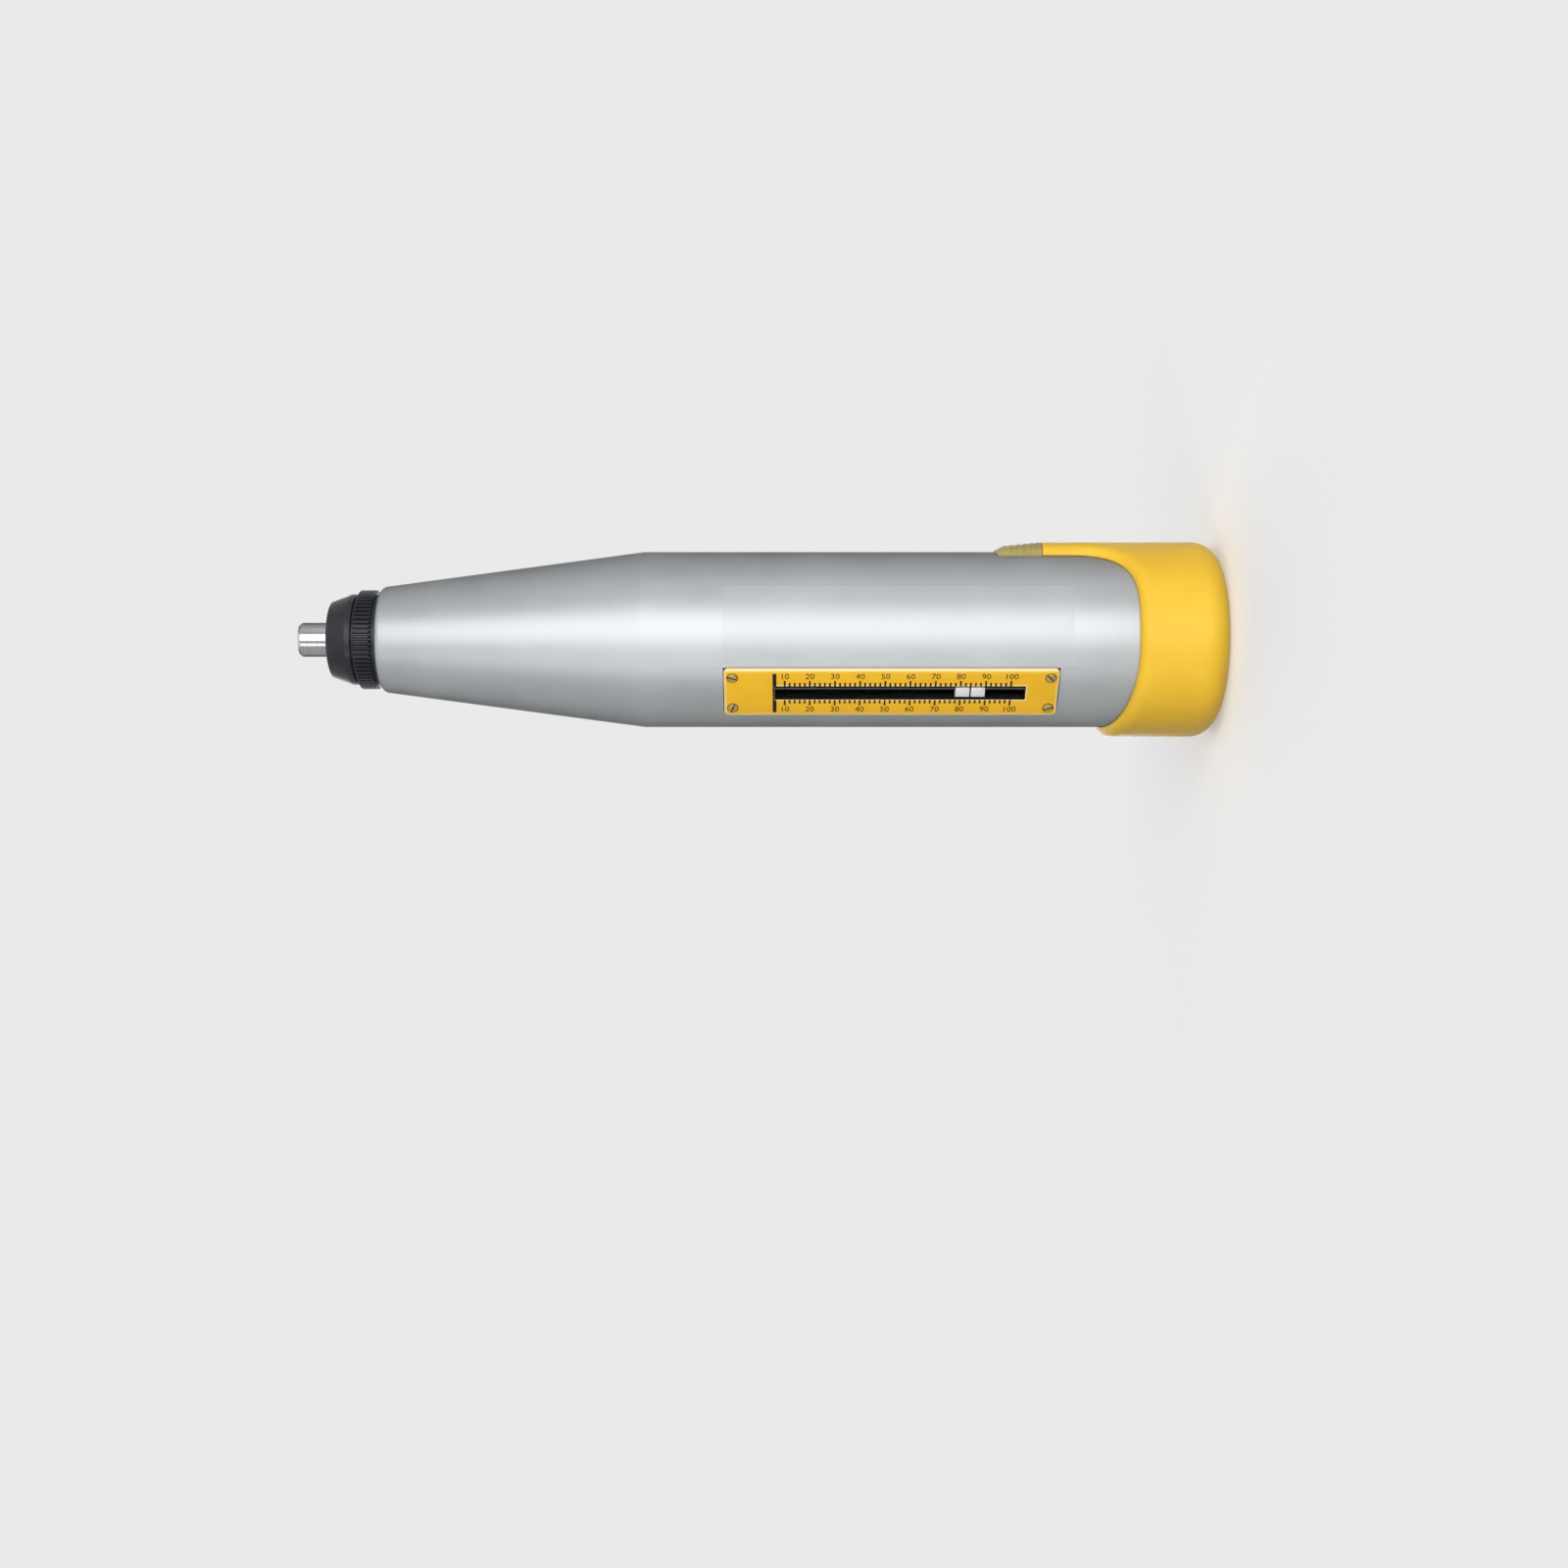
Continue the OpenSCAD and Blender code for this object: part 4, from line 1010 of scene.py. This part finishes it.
def make_scale_print():
    """Ticks, plain numbers and the end bar, printed on the plate."""
    past_slot = SLOT_HALF + SLOT_EDGE
    parts = []
    for unit in range(FIRST_UNIT, UNITS + 1, TICK_EVERY):
        x = -reading_z(unit)
        numbered = unit % NUMBER_EVERY == 0
        length = TICK_LONG if numbered else TICK_LEN
        for side in (-1, 1):
            y0, y1 = sorted((side * past_slot, side * (past_slot + length)))
            parts.append(box((x - TICK_W / 2, y0, 0), (x + TICK_W / 2, y1, INK)))
        if numbered:
            for side in (-1, 1):
                parts.append(number_part(str(unit), x, side * NUMBER_X))
    bar_end = -SLOT_END_Z - SLOT_EDGE - END_BAR_PAST
    bar_start = bar_end + END_BAR_W
    bar_notch = bar_end + END_BAR_PAST
    bar = mirrored([(bar_end, END_BAR_HALF), (bar_start, END_BAR_HALF), (bar_start, past_slot),
                    (bar_notch, past_slot)])
    parts.append(prism(bar, 0, INK))
    part = moved(joined(*parts), ON_PLATE)
    mesh = make_mesh("scale_print", part, [finish["ink"]], FINE_SHARP)
    add_piece("scale_print", mesh, "barrel")


def make_screws():
    """Four slotted screws in the plate's corners, each with a painted shadow ring round its head
    and painted shade in its slot.
    """
    head = rounded([
        (0, -SCREW_LEN, 0),
        (SCREW_SHANK_R, -SCREW_LEN, 0),
        (SCREW_SHANK_R, 0, 0),
        (SCREW_HEAD_R, 0, 0),
        (SCREW_HEAD_R, SCREW_HEAD_T, SCREW_HEAD_EDGE),
        (0, SCREW_HEAD_T, 0),
    ])
    slot = box((-2 * SCREW_HEAD_R, -SCREW_SLOT_W / 2, SCREW_HEAD_T / 2),
               (2 * SCREW_HEAD_R, SCREW_SLOT_W / 2, CUT_PAST))
    screw = cut(make_mesh("screw", lathe(head, SCREW_STEPS), [finish["screw"]]),
                make_mesh("screw_slot", slot, [finish["bore"]]))
    # Dark disc under each head: a painted shadow round the screw
    ring = make_mesh("screw_shadow_ring", cylinder(SCREW_SHADOW_R, 0, INK, SCREW_STEPS), [finish["ink"]])
    heights = (plate_low.z + SCREW_INSET_Z, plate_high.z - SCREW_INSET_Z)
    places = [(x, z) for x in (-SCREW_X, SCREW_X) for z in heights]
    for i, ((x, z), turn) in enumerate(zip(places, SCREW_TURNS)):
        place = ON_PLATE @ Matrix.Translation((-z, x, 0))
        mesh = screw.copy()
        mesh.transform(place @ Matrix.Rotation(math.radians(turn), 4, "Z"))
        add_piece(f"plate_screw_{i + 1}", mesh, "barrel", ["plate_screws"])
        mesh = ring.copy()
        mesh.transform(place)
        add_piece(f"screw_painted_shadow_{i + 1}", mesh, "barrel")


def make_rider():
    """White rider: two blocks with a dark line between them, on a body that runs on the rod."""
    white = [finish["white"]]
    middle = (rider_low.z + rider_high.z) / 2
    line_low, line_high = middle - RIDER_LINE / 2, middle + RIDER_LINE / 2
    body = box((-rider_high.x, -RIDER_BODY_TOP, rider_low.z), rider_high)
    hole = moved(cylinder(rod_high.x + ROD_ROOM, rider_low.z - CUT_PAST, rider_high.z + CUT_PAST,
                          ROD_HOLE_STEPS),
                 Matrix.Translation((0, (rod_low.y + rod_high.y) / 2, 0)))
    mesh = cut(make_mesh("rider_body", body, white, bevel=RIDER_EDGE),
               make_mesh("rider_hole", hole, white))
    add_piece("rider_body", mesh, "index", ["rider"])
    for name, low, high in (("rider_block_rear", rider_low.z, line_low),
                            ("rider_block_front", line_high, rider_high.z)):
        block = box((-RIDER_FACE_HALF, rider_low.y, low), (RIDER_FACE_HALF, -RIDER_BODY_TOP, high))
        mesh = make_mesh(name, block, white, bevel=RIDER_EDGE)
        add_piece(name, mesh, "index")
    line = box((-RIDER_FACE_HALF, rider_low.y + RIDER_EDGE, line_low),
               (RIDER_FACE_HALF, -RIDER_BODY_TOP, line_high))
    mesh = make_mesh("rider_index_line", line, [finish["ink"]])
    add_piece("rider_index_line", mesh, "index")


def make_film():
    """Clear film on the tube beside the scale."""
    verts = []
    for r in (TUBE_R + FILM_LIFT, TUBE_R + FILM_LIFT + FILM_T):
        for i in range(FILM_STEPS_AROUND + 1):
            angle = FILM_START + (FILM_END - FILM_START) * i / FILM_STEPS_AROUND
            for k in range(FILM_STEPS_ALONG + 1):
                z = FILM_LOW_Z + (FILM_HIGH_Z - FILM_LOW_Z) * k / FILM_STEPS_ALONG
                verts.append((r * math.cos(angle), r * math.sin(angle), z))
    top = len(verts) // 2
    inner, rim = grid(FILM_STEPS_AROUND, FILM_STEPS_ALONG)
    faces = []
    for quad in inner:
        faces += [quad, tuple(top + v for v in reversed(quad))]
    for a, b in zip(rim, rim[1:] + rim[:1]):
        faces.append((a, b, top + b, top + a))
    materials = [finish["film"], finish["film_rim"]]
    mesh = make_mesh("clear_film", (verts, faces), materials, FINE_SHARP)
    for face in mesh.polygons:
        out = Vector((face.center.x, face.center.y, 0)).normalized()
        face.material_index = int(abs(face.normal.dot(out)) < FILM_RIM_DOT)
    add_piece("clear_film", mesh, "barrel")


# Mechanism

def spring_mesh(name, part):
    """A coil's mesh in spring wire."""
    return make_mesh(name, part, [finish["spring"]], COARSE_SHARP)


def blended_spring(name, part):
    """A spring that rides on no body and stands for its CAD node."""
    piece = add_piece(name + "_coil", spring_mesh(name, part), None, [name])
    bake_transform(piece)


def make_springs():
    """The springs as round wire; the two that stretch ride on no body."""
    for name, coil, first, second in (
            ("impact_spring", IMPACT_COIL, "mass", "barrel"),
            ("compression_spring", COMPRESSION_COIL, "barrel", "plunger_train")):
        low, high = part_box(name)
        blended_spring(name, helix(coil, low.z, high.z))
    low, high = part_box("buffer_spring")
    mesh = spring_mesh("buffer_coil", helix(BUFFER_COIL, low.z, high.z))
    add_piece("buffer_coil", mesh, "plunger_train", ["buffer_spring"])
    low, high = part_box("pawl_spring")
    place = Matrix.Translation((0, (low.y + high.y) / 2, (low.z + high.z) / 2))
    mesh = spring_mesh("pawl_coil", moved(helix(PAWL_COIL, low.x, high.x), place @ Z_TO_X))
    add_piece("pawl_coil", mesh, "plunger_train", ["pawl_spring"])
    middle = Vector((0, 0, PAD_MIDDLE_Z))
    part = moved(helix(BUTTON_COIL, POCKET_BOTTOM, BUTTON_CUP_TOP),
                 TO_TONGUE @ Matrix.Translation(middle) @ Z_TO_X)
    blended_spring("button_spring", part)


INNER_FINISH = {
    "steel": ("split_ring", "guide_sleeve", "trip_screw", "trip_lock_nut", "guide_disk",
              "pawl_pin", "pawl", "hammer_mass", "lock_pin"),
    "polished": ("guide_bar",),
    "spring": ("rider_strip",),
    "dark_rod": ("rider_rod",),
    "aluminium": ("end_plug",),
    "brass": ("rod_blocks",),
    "felt": ("felt_seal",),
}


def dress_inner_nodes():
    """Finishes of the pieces that keep their CAD shape."""
    for name, nodes in INNER_FINISH.items():
        for node in nodes:
            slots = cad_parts[node].data.materials
            slots.clear()
            slots.append(finish[name])


# Studio

CAMERA_AZIMUTH = math.radians(40)
CAMERA_DISTANCE = 607 * MM
CAMERA_Z = 133 * MM
CAMERA_DROP = 44.64 * MM
LENS = 45
CLIP_START = 0.01
BACKGROUND = (0.82, 0.82, 0.825)
AMBIENT = 0.12
FLOOR_R = 0.17
FLOOR_FADE_START = 0.04
FLOOR_GLOW = 0.35
FLOOR_COLOUR = (0.80, 0.80, 0.80)
FLOOR_ROUGHNESS = 0.9
FLOOR_STEPS = 96

# Area lights: name, azimuth, distance, height, (width, length), power
LIGHTS = (
    ("front_soft", 52, 1.1, 0.20, (0.85, 1.8), 15.0),
    ("front_low", 2, 0.95, 0.28, (0.28, 1.0), 2.0),
    ("side_soft", 105, 1.1, CAMERA_Z, (0.6, 0.9), 1.2),
    ("back_soft", 222, 1.0, 0.25, (0.9, 1.1), 8.0),
    ("top_soft", 46, 0.05, 1.2, (0.9, 0.9), 2.5),
)


def round_direction(azimuth):
    """Horizontal direction from the object to a camera or light at an azimuth."""
    return Vector((math.sin(azimuth), -math.cos(azimuth), 0))


def make_camera():
    """Camera of the photograph: level, with the plunger to the left of the picture."""
    back = round_direction(CAMERA_AZIMUTH)
    right = Vector((0, 0, -1))
    up = back.cross(right)
    camera = bpy.data.objects.new("camera", bpy.data.cameras.new("camera"))
    camera.data.lens = LENS
    camera.data.clip_start = CLIP_START
    place = back * CAMERA_DISTANCE - up * CAMERA_DROP + Vector((0, 0, CAMERA_Z))
    turn = Matrix((right, up, back)).transposed().to_4x4()
    camera.matrix_world = Matrix.Translation(place) @ turn
    bpy.context.scene.collection.objects.link(camera)
    bpy.context.scene.camera = camera


def make_light(name, azimuth, distance, height, size, power):
    """An area light of (width, length) that faces the object's middle."""
    light = bpy.data.lights.new(name, "AREA")
    light.shape = "RECTANGLE"
    light.size, light.size_y = size
    light.energy = power
    lamp = bpy.data.objects.new(name, light)
    place = round_direction(math.radians(azimuth)) * distance + Vector((0, 0, height))
    target = Vector((0, 0, CAMERA_Z))
    lamp.location = place
    lamp.rotation_mode = "QUATERNION"
    lamp.rotation_quaternion = (target - place).to_track_quat("-Z", "Y")
    bpy.context.scene.collection.objects.link(lamp)


def shown_ray(tree):
    """1 for the camera's, glossy and transmission rays, which see the pale background."""
    path = tree.nodes.new("ShaderNodeLightPath")
    seen = path.outputs["Is Camera Ray"]
    for ray in ("Is Glossy Ray", "Is Transmission Ray"):
        seen = combined(tree, "MAXIMUM", seen, path.outputs[ray])
    return seen


def make_world():
    """Pale background for the camera, glossy and transmission rays, and a dimmer ambient light."""
    world = bpy.data.worlds.new("studio")
    bpy.context.scene.world = world
    world.use_nodes = True
    tree = world.node_tree
    shown = tree.nodes["Background"]
    shown.inputs["Color"].default_value = (*BACKGROUND, 1)
    ambient = tree.nodes.new("ShaderNodeBackground")
    ambient.inputs["Color"].default_value = (1, 1, 1, 1)
    ambient.inputs["Strength"].default_value = AMBIENT
    mix = tree.nodes.new("ShaderNodeMixShader")
    tree.links.new(shown_ray(tree), mix.inputs[0])
    tree.links.new(ambient.outputs[0], mix.inputs[1])
    tree.links.new(shown.outputs[0], mix.inputs[2])
    tree.links.new(mix.outputs[0], tree.nodes["World Output"].inputs["Surface"])


def make_floor():
    """Plain pale floor that fades into the background, for the rays that see the background."""
    material, tree, shader = start_material(
        "pale_floor", FLOOR_COLOUR, FLOOR_ROUGHNESS, Specular_IOR_Level=0.0)
    place = tree.nodes.new("ShaderNodeTexCoord")
    distance = tree.nodes.new("ShaderNodeVectorMath")
    distance.operation = "LENGTH"
    tree.links.new(place.outputs["Object"], distance.inputs[0])
    fade = ranged(tree, distance.outputs["Value"], FLOOR_FADE_START, FLOOR_R, 1, 0)
    tree.links.new(combined(tree, "MULTIPLY", fade, shown_ray(tree)), shader.inputs["Alpha"])
    shader.inputs["Emission Color"].default_value = (*BACKGROUND, 1)
    shader.inputs["Emission Strength"].default_value = FLOOR_GLOW
    mesh = bpy.data.meshes.new("floor")
    work = bmesh.new()
    bmesh.ops.create_circle(work, cap_ends=True, segments=FLOOR_STEPS, radius=FLOOR_R)
    work.to_mesh(mesh)
    work.free()
    mesh.materials.append(material)
    floor = bpy.data.objects.new("floor", mesh)
    bpy.context.scene.collection.objects.link(floor)


bpy.context.scene.view_settings.view_transform = "Standard"
finish = make_materials()
make_camera()
make_world()
for light in LIGHTS:
    make_light(*light)
make_floor()
make_barrel()
make_front_cap()
make_plunger()
make_rear_cap()
make_lock_button()
make_scale_plate()
make_scale_print()
make_screws()
make_rider()
make_film()
make_springs()
dress_inner_nodes()

bpy.context.view_layer.update()
